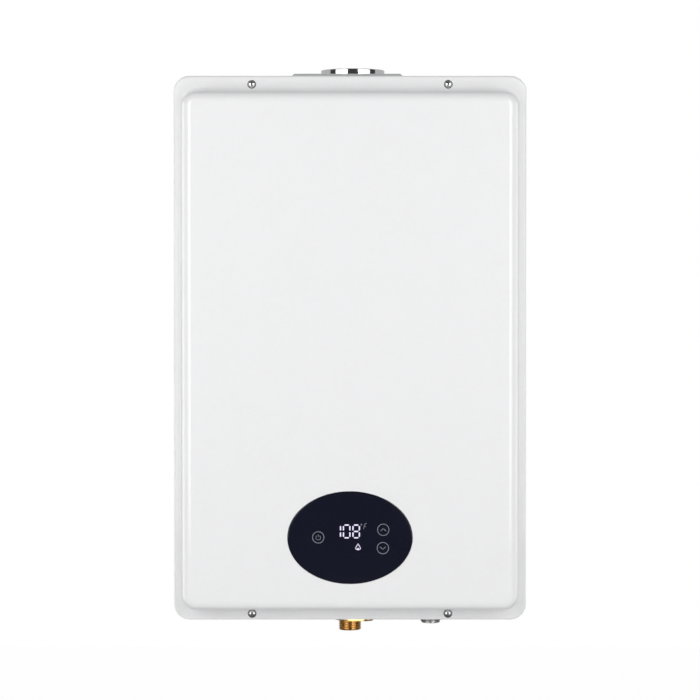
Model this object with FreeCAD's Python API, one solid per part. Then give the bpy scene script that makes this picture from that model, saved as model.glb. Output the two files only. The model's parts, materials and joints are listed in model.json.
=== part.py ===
import FreeCAD, Part
import math
import os

# Wall-hung, fan-exhausted instant water heater. All sizes in millimetres.
# +X to the viewer's right, +Z up, the front looks along -Y.
# The origin lies on the wall plane, in the middle of the casing's back.

# ---------- driving dimensions: cover ----------
body_width = 350.0         # over the cover's skirt
body_height = 540.0
corner_radius = 16.0
rim_depth = 120.0          # wall to the front of the flat rim
raise_height = 35.0        # raised middle, in front of the rim
side_rim = 9.8             # flat rim left and right of the raised middle
end_rim = 15.8             # flat rim above and below it, on average
raise_drop = 1.8           # middle of the raised part below the middle of the cover
raise_corner = 14.0        # corner radius of the raised middle
crown_radius = 10.0        # bend round the raised front
foot_bevel = 3.0           # slope where the raised wall meets the rim
fold_chamfer = 1.2         # edge from rim to skirt
skirt_depth = 16.0
cover_sheet = 1.0
skirt_gap = 0.4            # between the skirt and the casing
cover_screw_spread = 194.6 # between the screws of one row
cover_screw_inset = 7.5    # from the cover's top or bottom edge, on average
cover_screw_drop = 1.1     # middle of the screws below the middle of the cover
cover_screw_shank = 3.9
cover_screw_length = 10.0
screw_head_width = 8.6
screw_head_height = 2.4
hole_clearance = 0.35      # radial, round a screw
thread_clearance = 0.05    # radial, round a screw in its own thread

# ---------- driving dimensions: casing ----------
casing_sheet = 1.0
side_flange = 8.0          # inward flange behind the cover's rim
end_flange = 14.0
flange_corner = 6.0
gasket_thickness = 2.0
gasket_width = 4.0
bead_spread = 180.0        # between the two pressed beads of the back
bead_length = 380.0
bead_width = 14.0
bead_depth = 2.5
wall_hole = 7.0            # screw holes to the wall
wall_spread = 250.0
wall_rise = 480.0
slot_length = 44.0         # air slots
slot_width = 4.0
slot_pitch = 11.0
side_slots = 4             # in each group
side_slot_height = 150.0   # group centres above and below the middle
bottom_slots = 3

# ---------- driving dimensions: panel ----------
panel_width = 122.4
panel_height = 90.6
panel_drop = 184.3         # panel centre below the middle
oval_flats = 64            # short flats of the oval edges
lens_gap = 0.3             # lens edge to the cover
lens_proud = 0.4
lens_bevel = 0.5
lens_flange = 4.0
lens_thickness = 2.0       # of the flange behind the sheet
tray_depth = 22.0
tray_wall = 2.0
tray_corner_share = 0.6    # corner cut of the tray, as a share of its half height
board_thickness = 1.6
board_gap = 5.0            # board behind the lens flange
board_margin = 8.0
digit_block = (27.0, 18.0)
digit_offset = (0.0, 6.0)
key_pad = 10.0
key_places = ((-31.5, 0.0), (33.2, 7.5), (32.8, -10.8))
tray_screw = 3.0
tray_ear = 5.0
tray_screw_flats = 5.5
tray_screw_head = 2.0

# ---------- driving dimensions: flue and fan ----------
flue_x = 2.8
collar_width = 64.0
collar_bore = 60.8
collar_stand = 9.2         # above the cover's top edge
collar_length = 22.2
plate_width = 110.5
plate_shift = -5.5         # plate centre beside the collar's
plate_depth = 80.0
plate_front_room = 15.0    # plate to the casing's front
plate_thickness = 3.6
plate_slope = 2.4
flue_gasket_thickness = 1.2
flue_screw = 3.5
flue_screw_edge = 5.25     # from the slope of the plate's end
flue_screw_inset = 26.0    # from the plate's front and rear
collar_gap = 0.15          # round the collar, below its plate
adapter_sheet = 1.0
adapter_neck = 5.0         # square duct below the collar's foot
fan_x = -30.0
fan_height = 188.0
fan_back = 44.0            # wall to the scroll's rear plate
fan_width = 48.0           # depth of the scroll
scroll_start = 46.0
scroll_end = 60.0
scroll_sheet = 1.0
tongue_angle = 45.0
scroll_flats = 26          # the wall is rolled in short flats
impeller_width = 84.0
impeller_length = 34.0
impeller_disc = 1.6
blade_count = 14
blade_depth = 9.0          # radial
blade_lean = 14.0          # degrees from root to tip
blade_sheet = 1.0
impeller_ring = 2.0
hub_width = 16.0
fan_eye = 60.0             # inlet of the scroll
fan_shaft_width = 6.0
shaft_clearance = 0.05     # radial, in bearings
motor_width = 62.0
motor_length = 40.0
motor_plate = 1.5

# ---------- driving dimensions: exchanger and burner ----------
chamber_room = 12.3        # side of the chamber to the axis of a water fitting
chamber_back = 18.0        # wall to the chamber's rear face
chamber_bottom = -30.0
chamber_sheet = 1.0
core_bottom = 62.0
core_height = 60.0
core_gap = 0.6             # exchanger core to the chamber wall
core_edge = 2.4            # outer water tubes to the front and the rear of the core
fin_pitch = 12.0
fin_thickness = 2.0
core_web = 16.0            # solid middle of the core, round the water tubes
water_tube_wide = 20.0     # flat-sided tubes
water_tube_tall = 9.0
water_tube_clip = 2.5
water_tubes = 3
water_tube_pitch = 26.0
header_width = 26.0
header_height = 26.0
header_edge = 3.0
hood_low = 8.0             # height of the hood in front of the scroll
hood_top = 232.0
burner_drop = 70.0         # height of the burner frame
bar_pitch = 19.0
bar_head = 12.0            # width of a burner bar at its flame ports
bar_neck = 5.0
bar_tube = 15.0            # width over the mixing tube
bar_height = 56.0
bar_head_depth = 12.3
bar_neck_drop = 20.2       # from the flame head's top to the narrow neck
bar_neck_foot = 24.0       # neck's lower end above the bar's bottom
bar_tube_top = 18.0        # straight flanks of the mixing tube, above the bottom
bar_tube_low = 6.0
bar_keel = 6.8             # width of the bar's bottom
bar_gap = 4.0              # bars to the frame's rear and top
flame_slots = 2
flame_slot_width = 2.0
flame_slot_depth = 5.0
mouth_width = 12.0         # mouth of each mixing tube in the frame
rail_depth = 16.0
rail_height = 20.0
rail_gap = 4.0             # rail to the burner frame
nozzle_flats = 6.0
nozzle_length = 7.0
electrode_width = 3.0
electrode_body = 8.0
electrode_body_length = 16.0
electrode_reach = 24.0
electrode_height = 14.0    # above the bottom of the chamber
electrode_spread = 24.0
flame_probe_place = 44.0

# ---------- driving dimensions: gas ----------
fitting_depth = 48.0       # wall to the axes of all fittings
gas_thread = 22.9
gas_bore = 14.0
thread_chamfer = 1.2
gas_end = 19.7             # nipple end below the cover's bottom edge
gas_flange_drop = 5.2      # top of the flange below the cover's bottom edge
gas_flange = 5.0
gas_ear_spread = 38.0
gas_ear_radius = 7.2
ear_inset = 1.0            # flank of an ear inside the round middle
gas_ear_turn = 30.0        # the right ear comes forward
gas_boss_radius = 13.6
gas_screw = 4.0
gas_screw_length = 12.0
gas_hole = 60.0            # opening of the casing round the gas boss
valve_width = 84.0
valve_front = 115.5        # wall to the valve's front
valve_back = 26.0
valve_height = 34.0
valve_base = 7.0           # underside of the valve above the casing's bottom
valve_corner = 5.0
coil_spread = 42.0
coil_width = 30.0
coil_height = 34.0
plunger_width = 10.0
plunger_clearance = 0.05
plunger_head = 18.0
plunger_head_height = 3.0
plunger_chamber = 22.0
plunger_chamber_depth = 20.0
seat_gap = 0.3
shutoff_travel = 3.0
control_travel = 2.5
plunger_top_room = 4.0     # free height above the plunger at its highest
coil_cap = 3.0
spring_wire = 1.0
spring_coil = 7.0          # radius
spring_turns = 4
spring_sides = 8           # short straight pieces to a turn
riser_width = 10.0
riser_wall = 1.0

# ---------- driving dimensions: water ----------
water_thread = 20.955
water_bore = 14.0
water_edge = 91.3          # casing's side to the axis of a water fitting
cold_end = 12.6            # nipple ends below the cover's bottom edge
hot_end = 8.5
nipple_shoulder = 27.0
nipple_shoulder_height = 4.0
lock_nut_flats = 26.0
lock_nut_height = 3.0
nipple_top = 18.0          # nipple's top above the casing's bottom
filter_length = 14.0
filter_wall = 1.0
sensor_width = 30.0
sensor_length = 52.0
sensor_bore = 22.0
rotor_width = 19.0
rotor_length = 12.0
rotor_blades = 5
rotor_hub = 6.0
vane_sheet = 1.0
vane_slant = 8.0           # sideways from one end of a vane to the other
axle_width = 2.0
axle_clearance = 0.05
spider_width = 4.0         # bars that hold the axle in the sensor
spider_height = 2.5
hall_size = (5.0, 12.0, 16.0)
union_flats = 22.0
union_length = 12.0
pipe_width = 14.0
pipe_wall = 1.0
drain_spacing = 32.7       # beside the cold water fitting
drain_body = 14.0
drain_stem = 6.0
drain_arm_wall = 1.0       # branch to the cold side, round its bore
drain_knob_width = 18.0
drain_knob_height = 7.6
drain_gap = 0.5
drain_neck = 2.0           # valve below the casing's floor
drain_grip_depth = 12.0    # stem in the valve
drain_stem_room = 1.0      # stem's end to the bottom of its bore
drain_grips = 8
drain_grip_cut = 1.8       # radius of each grip

# ---------- driving dimensions: controls ----------
box_wide = 36.0
box_deep = 80.0
lead_margin = 24.0         # lead opening to the box's front and back
box_tall = 170.0
box_back = 25.0
box_wall = 2.0
board_stand = 10.0         # control board to the box's outer wall
igniter_size = (30.0, 48.0, 56.0)
igniter_post_spread = 19.2
igniter_height = -40.0
switch_width = 40.0
switch_length = 16.0
switch_height = 190.0
switch_back = 70.0
switch_stand = 12.0        # on its foot from the casing's side
hose_width = 6.0
hose_bore = 3.0
cutout_width = 16.0
cutout_height = 6.0
probe_width = 6.0
probe_length = 16.0
gland_edge = 27.6          # casing's side to the axis of the gland
gland_width = 20.0
gland_flats = 22.0
gland_bore = 7.0
gland_drop = 9.0
gland_nut_height = 4.0
fit_gap = 0.3              # between parts that only pass each other

# ---------- places worked out from the dimensions above ----------
half_width = body_width / 2
half_height = body_height / 2
casing_half_width = half_width - cover_sheet - skirt_gap
casing_half_height = half_height - cover_sheet - skirt_gap
casing_corner = corner_radius - cover_sheet - skirt_gap
casing_front = -(rim_depth - cover_sheet - gasket_thickness)
inner_half_width = casing_half_width - casing_sheet
floor_top = -casing_half_height + casing_sheet
roof_bottom = casing_half_height - casing_sheet
front_face = -(rim_depth + raise_height)
cover_inside = front_face + cover_sheet
cover_screw_height = half_height - cover_screw_inset
flue_depth = -casing_front - plate_front_room - plate_depth / 2
water_x = casing_half_width - water_edge
drain_x = water_x + drain_spacing
gland_x = casing_half_width - gland_edge

nudge = 0.01               # how far a cutting solid reaches past a face
slack = 1e-4               # tolerance when picking edges
root_half = math.sqrt(0.5)
# sides of the prisms that stand for hidden or small round parts
fine_count = 32
wide_count = 24
boss_count = 20
round_count = 16
small_count = 12
rod_count = 10
hex_count = 6
round_share = math.cos(math.pi / round_count)  # flat to corner of such a hole
rod_share = math.cos(math.pi / rod_count)
crown_cut = 0.66           # flat inside of the crown's bend, as a share of its radius


def vec(x, y, z):
    return FreeCAD.Vector(x, y, z)


def block(x0, x1, y0, y1, z0, z1):
    return Part.makeBox(x1 - x0, y1 - y0, z1 - z0, vec(x0, y0, z0))


def block_at(x, y, z, size):
    # a block centred on a point
    return Part.makeBox(*size, vec(x - size[0] / 2, y - size[1] / 2, z - size[2] / 2))


def rod(x, y, z, radius, length, axis=(0, 0, 1)):
    return Part.makeCylinder(radius, length, vec(x, y, z), vec(*axis))


def prism(x, y, z, radius, length, sides, axis="z"):
    # an even-sided prism that starts at the point and runs along an axis
    points = []
    for corner in range(sides + 1):
        angle = 2 * math.pi * corner / sides
        points.append(vec(radius * math.cos(angle), radius * math.sin(angle), 0))
    shape = Part.Face(Part.makePolygon(points)).extrude(vec(0, 0, length))
    if axis == "y":
        shape.rotate(vec(0, 0, 0), vec(1, 0, 0), -90)
    if axis == "x":
        shape.rotate(vec(0, 0, 0), vec(0, 1, 0), 90)
    shape.translate(vec(x, y, z))
    return shape


def small_rod(x, y, z, radius, length, axis="z"):
    # shanks, pins and other small round parts: ten flat sides keep the facets few
    return prism(x, y, z, radius, length, rod_count, axis)


def hexagon(x, y, z, flats, length, axis="z"):
    return prism(x, y, z, flats / math.sqrt(3), length, hex_count, axis)


def tidy(shape):
    # joins faces that continue each other
    return shape.removeSplitter()


def rounded_outline(half_w, half_h, radius, y, z=0.0):
    # a rounded rectangle in a plane across the depth
    flat_w = half_w - radius
    flat_h = half_h - radius
    bend = radius * root_half
    edges = []
    for sx, sz, swap in ((1, 1, False), (-1, 1, True), (-1, -1, False), (1, -1, True)):
        side = vec(sx * half_w, y, z + sz * flat_h)
        end = vec(sx * flat_w, y, z + sz * half_h)
        middle = vec(sx * (flat_w + bend), y, z + sz * (flat_h + bend))
        corner = (end, middle, side) if swap else (side, middle, end)
        edges.append(Part.Arc(*corner).toShape())
    first_ends = [(arc.Vertexes[0].Point, arc.Vertexes[-1].Point) for arc in edges]
    for index in range(4):
        edges.append(Part.makeLine(first_ends[index][1], first_ends[(index + 1) % 4][0]))
    return Part.Wire(Part.__sortEdges__(edges))


def rounded_prism(half_w, half_h, radius, back, front, z=0.0):
    outline = rounded_outline(half_w, half_h, radius, back, z)
    return Part.Face(outline).extrude(vec(0, front - back, 0))


def oval_prism(width, height, back, front, z):
    # an elliptical plate that faces the front, in short flats
    points = []
    for step in range(oval_flats + 1):
        turn = 2 * math.pi * step / oval_flats
        points.append(vec(width / 2 * math.cos(turn), back, z + height / 2 * math.sin(turn)))
    return Part.Face(Part.makePolygon(points)).extrude(vec(0, front - back, 0))


def flat_edges(shape, y, keep=None):
    # edges that lie in one plane across the depth
    chosen = []
    for edge in shape.Edges:
        points = [edge.valueAt(edge.getParameterByLength(edge.Length * share)) for share in (0, 0.5, 1)]
        if all(abs(point.y - y) < slack for point in points):
            if keep is None or all(keep(point) for point in points):
                chosen.append(edge)
    return chosen


def cover_screw_places():
    for side in (-1, 1):
        for end in (-1, 1):
            yield side * cover_screw_spread / 2, end * cover_screw_height - cover_screw_drop


# ---------- cover ----------
def cover_form(inset):
    # the pressed cover as a filled form, every face moved inwards by the inset
    rim = -rim_depth + inset
    back = -(rim_depth - skirt_depth)
    if inset:
        back += nudge
    rim_half_w = half_width - inset
    rim_half_h = half_height - inset
    pan = rounded_prism(rim_half_w, rim_half_h, corner_radius - inset, back, rim)
    pan = pan.makeChamfer(fold_chamfer, flat_edges(pan, rim))
    foot_half_w = half_width - side_rim - inset
    foot_half_h = half_height - end_rim - inset
    front = front_face + inset
    raised = rounded_prism(foot_half_w, foot_half_h, raise_corner - inset, rim + foot_bevel, front)
    raised.translate(vec(0, 0, -raise_drop))
    if inset:
        raised = raised.makeChamfer((crown_radius - inset) * crown_cut, flat_edges(raised, front))
        return pan.fuse(raised)
    raised = raised.makeFillet(crown_radius, flat_edges(raised, front))
    whole = pan.fuse(raised)

    def at_foot(point):
        height = abs(point.z + raise_drop)
        return abs(point.x) < foot_half_w + slack and height < foot_half_h + slack

    return whole.makeChamfer(foot_bevel, flat_edges(whole, rim, at_foot))


def front_cover():
    cover = cover_form(0).cut(cover_form(cover_sheet))
    for x, z in cover_screw_places():
        hole = cover_screw_shank / 2 + hole_clearance
        cover = cover.cut(small_rod(x, -rim_depth - nudge, z, hole, cover_sheet + 2 * nudge, "y"))
    return cover.cut(oval_prism(panel_width, panel_height, cover_inside + nudge, front_face - nudge,
                                -panel_drop))


def cover_screws():
    screws = []
    for x, z in cover_screw_places():
        head = prism(x, -rim_depth - screw_head_height, z, screw_head_width / 2, screw_head_height,
                     small_count, "y")
        shank = small_rod(x, -rim_depth, z, cover_screw_shank / 2, cover_screw_length, "y")
        screws.append(tidy(head.fuse(shank)))
    return Part.makeCompound(screws)


def cover_gasket():
    outer_w = inner_half_width - fit_gap
    outer_h = cover_screw_height - cover_screw_drop - cover_screw_shank / 2 - hole_clearance - fit_gap
    back = casing_front
    front = casing_front - gasket_thickness
    inner_w = outer_w - gasket_width
    inner_h = outer_h - gasket_width
    outer = rounded_prism(outer_w, outer_h, flange_corner, back, front)
    return outer.cut(block(-inner_w, inner_w, front, back, -inner_h, inner_h))


# ---------- casing ----------
def wall_hole_places():
    for side in (-1, 1):
        for height in (-wall_rise / 2, wall_rise / 2):
            yield side * wall_spread / 2, height


def back_beads(inset):
    # long ridges pressed into the back; they narrow towards the inside
    beads = []
    for side in (-1, 1):
        x = side * bead_spread / 2
        outlines = []
        for level, shrink in ((nudge - inset, 0), (-bead_depth - inset, bead_depth)):
            half_w = bead_width / 2 + inset / 2 - shrink
            half_l = bead_length / 2 + inset / 2 - shrink
            corners = ((-1, -1), (1, -1), (1, 1), (-1, 1), (-1, -1))
            points = [vec(x + sx * half_w, level, sz * half_l) for sx, sz in corners]
            outlines.append(Part.makePolygon(points))
        beads.append(Part.makeLoft(outlines, True, True))
    return Part.makeCompound(beads)


def air_slots():
    slots = []
    for side in (-1, 1):
        for group in (-1, 1):
            for index in range(side_slots):
                height = group * side_slot_height + (index - (side_slots - 1) / 2) * slot_pitch
                slots.append(block_at(side * (casing_half_width - casing_sheet / 2), casing_front / 2, height,
                                      (4 * casing_sheet, slot_length, slot_width)))
    for index in range(bottom_slots):
        depth = casing_front + end_flange + slot_pitch * (0.5 + index)
        slots.append(block_at(-(water_x + inner_half_width) / 2, depth, floor_top - casing_sheet / 2,
                              (slot_length, slot_width, 4 * casing_sheet)))
    return slots


def rear_casing():
    tray = rounded_prism(casing_half_width, casing_half_height, casing_corner, 0, casing_front)
    inside = rounded_prism(casing_half_width - casing_sheet, casing_half_height - casing_sheet,
                           casing_corner - casing_sheet, -casing_sheet, casing_front + casing_sheet)
    mouth = rounded_prism(inner_half_width - side_flange, roof_bottom - end_flange, flange_corner,
                          casing_front + 2 * casing_sheet, casing_front - nudge)
    casing = tray.cut(inside).cut(mouth)
    casing = casing.fuse(back_beads(casing_sheet)).cut(back_beads(0))
    holes = [rod(flue_x, -flue_depth, roof_bottom - nudge, collar_width / 2 + collar_gap,
                 casing_sheet + 2 * nudge),
             prism(0, -fitting_depth, floor_top - casing_sheet - nudge, gas_hole / 2,
                   casing_sheet + 2 * nudge, round_count)]
    for x, radius in ((water_x, water_thread / 2 + fit_gap), (-water_x, water_thread / 2 + fit_gap),
                      (drain_x, drain_body / 2 + fit_gap), (gland_x, gland_width / 2 - casing_sheet)):
        holes.append(prism(x, -fitting_depth, floor_top - casing_sheet - nudge, radius / round_share,
                           casing_sheet + 2 * nudge, round_count))
    for x, z in wall_hole_places():
        holes.append(rod(x, nudge, z, wall_hole / 2, casing_sheet + 2 * nudge, (0, -1, 0)))
    for x, z in cover_screw_places():
        holes.append(small_rod(x, casing_front - nudge, z, cover_screw_shank / 2 + thread_clearance,
                               casing_sheet + 2 * nudge, "y"))
    for x, y in flue_screw_places():
        holes.append(small_rod(x, y, roof_bottom - nudge, flue_screw / 2 + thread_clearance,
                               casing_sheet + 2 * nudge))
    return casing.cut(Part.makeCompound(holes)).cut(Part.makeCompound(air_slots()))


# ---------- touch panel ----------
def panel_lens():
    # flush oval plate with a wider flange behind the cover's sheet
    face = front_face - lens_proud
    back = cover_inside
    plate = oval_prism(panel_width - 2 * lens_gap, panel_height - 2 * lens_gap, back, face, -panel_drop)
    plate = plate.makeChamfer(lens_bevel, flat_edges(plate, face))
    flange = oval_prism(panel_width + 2 * lens_flange, panel_height + 2 * lens_flange,
                        back + lens_thickness, back, -panel_drop)
    return tidy(plate.fuse(flange))


def tray_outline(grow, back, front):
    # the tray's oval form, its corners cut flat
    half_w = panel_width / 2 + lens_flange + grow
    half_h = panel_height / 2 + lens_flange + grow
    cut = half_h * tray_corner_share
    points = []
    for sx, sz in ((1, 1), (-1, 1), (-1, -1), (1, -1)):
        upper = vec(sx * (half_w - cut), back, -panel_drop + sz * half_h)
        side = vec(sx * half_w, back, -panel_drop + sz * (half_h - cut))
        points += [side, upper] if sx * sz > 0 else [upper, side]
    points.append(points[0])
    return Part.Face(Part.makePolygon(points)).extrude(vec(0, front - back, 0))


tray_front = cover_inside + lens_thickness
tray_back = cover_inside + tray_depth
tray_ear_x = panel_width / 2 + lens_flange + tray_wall + tray_ear


def panel_tray():
    shell = tray_outline(tray_wall, tray_back, cover_inside)
    room = tray_outline(fit_gap, tray_back - tray_wall, cover_inside - nudge)
    shell = shell.cut(room)
    for side in (-1, 1):
        ear = block_at(side * tray_ear_x, cover_inside + tray_wall / 2, -panel_drop,
                       (2 * tray_ear, tray_wall, 2 * tray_ear))
        hole = small_rod(tray_ear_x * side, cover_inside - nudge, -panel_drop,
                         tray_screw / 2 + thread_clearance, tray_wall + 2 * nudge, "y")
        shell = shell.fuse(ear.cut(room)).cut(hole)
    shelf = tray_outline(-board_margin, tray_back, board_back)
    shelf = shelf.cut(tray_outline(-board_margin - tray_wall, tray_back - tray_wall, board_back - nudge))
    return tidy(shell.fuse(shelf))


board_front = tray_front + board_gap
board_back = board_front + board_thickness


def tray_screws():
    screws = []
    for side in (-1, 1):
        x = side * tray_ear_x
        head_back = cover_inside + tray_wall
        head = hexagon(x, head_back, -panel_drop, tray_screw_flats, tray_screw_head, "y")
        shank = small_rod(x, cover_inside, -panel_drop, tray_screw / 2, tray_wall, "y")
        screws.append(head.fuse(shank))
    return Part.makeCompound(screws)


def display_board():
    # with the touch springs soldered to it, one behind each key
    board = tray_outline(-board_margin + tray_wall, board_back, board_front)
    return board.multiFuse([small_rod(x, tray_front, -panel_drop + z, key_pad / 2, board_gap, "y")
                            for x, z in key_places])


def digit_display():
    x, z = digit_offset
    return block(x - digit_block[0] / 2, x + digit_block[0] / 2, tray_front, board_front,
                 -panel_drop + z - digit_block[1] / 2, -panel_drop + z + digit_block[1] / 2)


# ---------- flue ----------
plate_x = flue_x + plate_shift
gasket_top = casing_half_height + flue_gasket_thickness
plate_top = gasket_top + plate_thickness
collar_top = half_height + collar_stand


def flue_screw_places():
    for side in (-1, 1):
        for end in (-1, 1):
            yield (plate_x + side * (plate_width / 2 - plate_slope - flue_screw_edge),
                   -flue_depth + end * (plate_depth / 2 - flue_screw_inset))


def flue_screw_holes(low, high):
    return Part.makeCompound([small_rod(x, y, low - nudge, flue_screw / 2 + thread_clearance,
                                        high - low + 2 * nudge) for x, y in flue_screw_places()])


def flue_plate():
    # a flange with sloped edges, welded round the collar
    plate = block(plate_x - plate_width / 2, plate_x + plate_width / 2, -flue_depth - plate_depth / 2,
                  -flue_depth + plate_depth / 2, gasket_top, plate_top)
    top_edges = [edge for edge in plate.Edges if edge.BoundBox.ZMin > plate_top - slack]
    plate = plate.makeChamfer(plate_slope, top_edges)
    bore = rod(flue_x, -flue_depth, gasket_top - nudge, collar_width / 2, plate_thickness + 2 * nudge)
    return plate.cut(bore).cut(flue_screw_holes(gasket_top, plate_top))


def flue_screws():
    screws = []
    for x, y in flue_screw_places():
        head = hexagon(x, y, plate_top, 2 * flue_screw, flue_screw / 3)
        shank = small_rod(x, y, roof_bottom - adapter_sheet, flue_screw / 2,
                          plate_top - roof_bottom + adapter_sheet)
        screws.append(head.fuse(shank))
    return Part.makeCompound(screws)


def flue_gasket():
    low = casing_half_height
    sheet = block(plate_x - plate_width / 2, plate_x + plate_width / 2, -flue_depth - plate_depth / 2,
                  -flue_depth + plate_depth / 2, low, gasket_top)
    bore = prism(flue_x, -flue_depth, low - nudge, (collar_width / 2 + collar_gap) / round_share,
                 flue_gasket_thickness + 2 * nudge, round_count)
    return sheet.cut(bore).cut(flue_screw_holes(low, gasket_top))


def flue_collar():
    # a tube with a seat at its foot, held in the adapter
    foot = collar_top - collar_length
    tube = rod(flue_x, -flue_depth, foot, collar_width / 2, collar_length)
    return tube.cut(rod(flue_x, -flue_depth, foot - nudge, collar_bore / 2, collar_length + 2 * nudge))


# ---------- exhaust fan ----------
scroll_front = -(fan_back + fan_width)
outlet_left = fan_x + scroll_start * math.cos(math.radians(tongue_angle))
outlet_right = fan_x + scroll_end
adapter_foot = collar_top - collar_length - adapter_neck


def scroll_radius(angle):
    share = (angle - tongue_angle) / (360 - tongue_angle)
    return scroll_start + share * (scroll_end - scroll_start)


def scroll_prism(inset, back, front):
    # the air channel widens round the wheel, then leaves straight up
    points = []
    for step in range(scroll_flats + 1):
        angle = tongue_angle + step * (360 - tongue_angle) / scroll_flats
        radius = scroll_radius(angle) - inset
        turn = math.radians(angle)
        points.append(vec(fan_x + radius * math.cos(turn), back, fan_height + radius * math.sin(turn)))
    points.append(vec(points[-1].x, back, adapter_foot))
    points.append(vec(points[0].x, back, adapter_foot))
    points.append(points[0])
    return Part.Face(Part.makePolygon(points)).extrude(vec(0, front - back, 0))


def fan_housing():
    shell = scroll_prism(0, -fan_back, scroll_front + scroll_sheet)
    room = scroll_prism(scroll_sheet, -fan_back - scroll_sheet, scroll_front)
    mouth = block(outlet_left + scroll_sheet, outlet_right - scroll_sheet, scroll_front + scroll_sheet,
                  -fan_back - scroll_sheet, adapter_foot - 2 * scroll_sheet, adapter_foot + nudge)
    eye = prism(fan_x, -fan_back - scroll_sheet - nudge, fan_height, fan_eye / 2, scroll_sheet + 2 * nudge,
                wide_count, "y")
    return shell.cut(room).cut(mouth).cut(eye)


def fan_cover():
    plate = scroll_prism(0, scroll_front + scroll_sheet, scroll_front)
    return plate.cut(prism(fan_x, scroll_front - nudge, fan_height, hub_width / 2,
                           scroll_sheet + 2 * nudge, round_count, "y"))


impeller_front = scroll_front + (fan_width - impeller_length) / 2
motor_back = scroll_front - motor_plate
shaft_front = motor_back - motor_length / 2


def impeller_blade():
    # a thin flat strip that leans into the turn
    outer = impeller_width / 2 - blade_sheet
    inner = outer - blade_depth
    tip = math.radians(blade_lean)
    near = []
    far = []
    for radius, turn in ((inner, 0), (outer, tip)):
        near.append(vec(radius * math.cos(turn), 0, radius * math.sin(turn)))
        turn += blade_sheet / radius
        far.append(vec(radius * math.cos(turn), 0, radius * math.sin(turn)))
    start = impeller_disc / 2
    outline = near + far[::-1] + near[:1]
    reach = impeller_length - impeller_ring / 2 - start
    blade = Part.Face(Part.makePolygon(outline)).extrude(vec(0, reach, 0))
    blade.translate(vec(0, start, 0))
    return blade


def fan_impeller():
    outer = impeller_width / 2
    disc = prism(0, 0, 0, outer, impeller_disc, fine_count, "y")
    hub = prism(0, 0, 0, hub_width / 2, impeller_length / 2, small_count, "y")
    low = impeller_length - impeller_ring
    rim = prism(0, low, 0, outer, impeller_ring, fine_count, "y")
    rim = rim.cut(prism(0, low - nudge, 0, outer - blade_depth / 2, impeller_ring + 2 * nudge,
                        fine_count, "y"))
    wheel = disc.fuse(hub).fuse(rim)
    for index in range(blade_count):
        blade = impeller_blade()
        blade.rotate(vec(0, 0, 0), vec(0, 1, 0), 360 * index / blade_count)
        wheel = wheel.fuse(blade)
    wheel = wheel.cut(rod(0, -nudge, 0, fan_shaft_width / 2, impeller_length, (0, 1, 0)))
    wheel.translate(vec(fan_x, impeller_front, fan_height))
    return wheel


def fan_shaft():
    length = impeller_front + impeller_length / 2 - shaft_front
    return rod(fan_x, shaft_front, fan_height, fan_shaft_width / 2, length, (0, 1, 0))


def fan_motor():
    bolt_plate = block(fan_x - motor_width / 2, fan_x + motor_width / 2, motor_back, scroll_front,
                       fan_height - motor_width / 2, fan_height + motor_width / 2)
    can = prism(fan_x, motor_back - motor_length, fan_height, motor_width / 2, motor_length, wide_count, "y")
    bore = rod(fan_x, shaft_front - shaft_clearance * 4, fan_height, fan_shaft_width / 2 + shaft_clearance,
               motor_length, (0, 1, 0))
    return tidy(bolt_plate.fuse(can)).cut(bore)


def flue_adapter():
    # a duct from the scroll's outlet to the collar's foot, with a flange under the roof
    half = collar_width / 2 + collar_gap + 2 * adapter_sheet
    foot = collar_top - collar_length - adapter_sheet
    low = adapter_foot
    shell = block(flue_x - half, flue_x + half, -flue_depth - half, -flue_depth + half, foot, roof_bottom)
    hollow = (collar_width / 2 + collar_gap) / round_share
    shell = shell.cut(prism(flue_x, -flue_depth, foot + adapter_sheet, hollow, roof_bottom - foot,
                            round_count))
    flange_edge = plate_width / 2 - plate_slope
    flange = block(plate_x - flange_edge, plate_x + flange_edge, -flue_depth - plate_depth / 2,
                   -flue_depth + plate_depth / 2, roof_bottom - adapter_sheet, roof_bottom)
    flange = flange.cut(prism(flue_x, -flue_depth, roof_bottom - 2 * adapter_sheet, hollow,
                              4 * adapter_sheet, round_count))
    flange = flange.cut(flue_screw_holes(roof_bottom - adapter_sheet, roof_bottom))
    neck = block(outlet_left, outlet_right, scroll_front, -fan_back, low, foot)
    air = block(outlet_left + adapter_sheet, outlet_right - adapter_sheet, scroll_front + adapter_sheet,
                -fan_back - adapter_sheet, low - nudge, foot + 2 * adapter_sheet)
    return tidy(shell.multiFuse([flange, neck])).cut(air)


# ---------- exchanger and burner ----------
chamber_half = water_x - chamber_room
bar_count = int((chamber_half - chamber_sheet) * 2 / bar_pitch)
chamber_rear = -chamber_back
core_depth = (water_tubes - 1) * water_tube_pitch + water_tube_wide + 2 * core_edge
chamber_front = chamber_rear - core_depth - 2 * (core_gap + chamber_sheet)
chamber_middle = (chamber_rear + chamber_front) / 2
core_top = core_bottom + core_height
core_middle = core_bottom + core_height / 2


def box_tube(half_w, rear, front, low, high, sheet):
    # four walls of folded sheet, open at the top and bottom
    outer = block(-half_w, half_w, front, rear, low, high)
    return outer.cut(block(-half_w + sheet, half_w - sheet, front + sheet, rear - sheet,
                           low - nudge, high + nudge))


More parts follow.
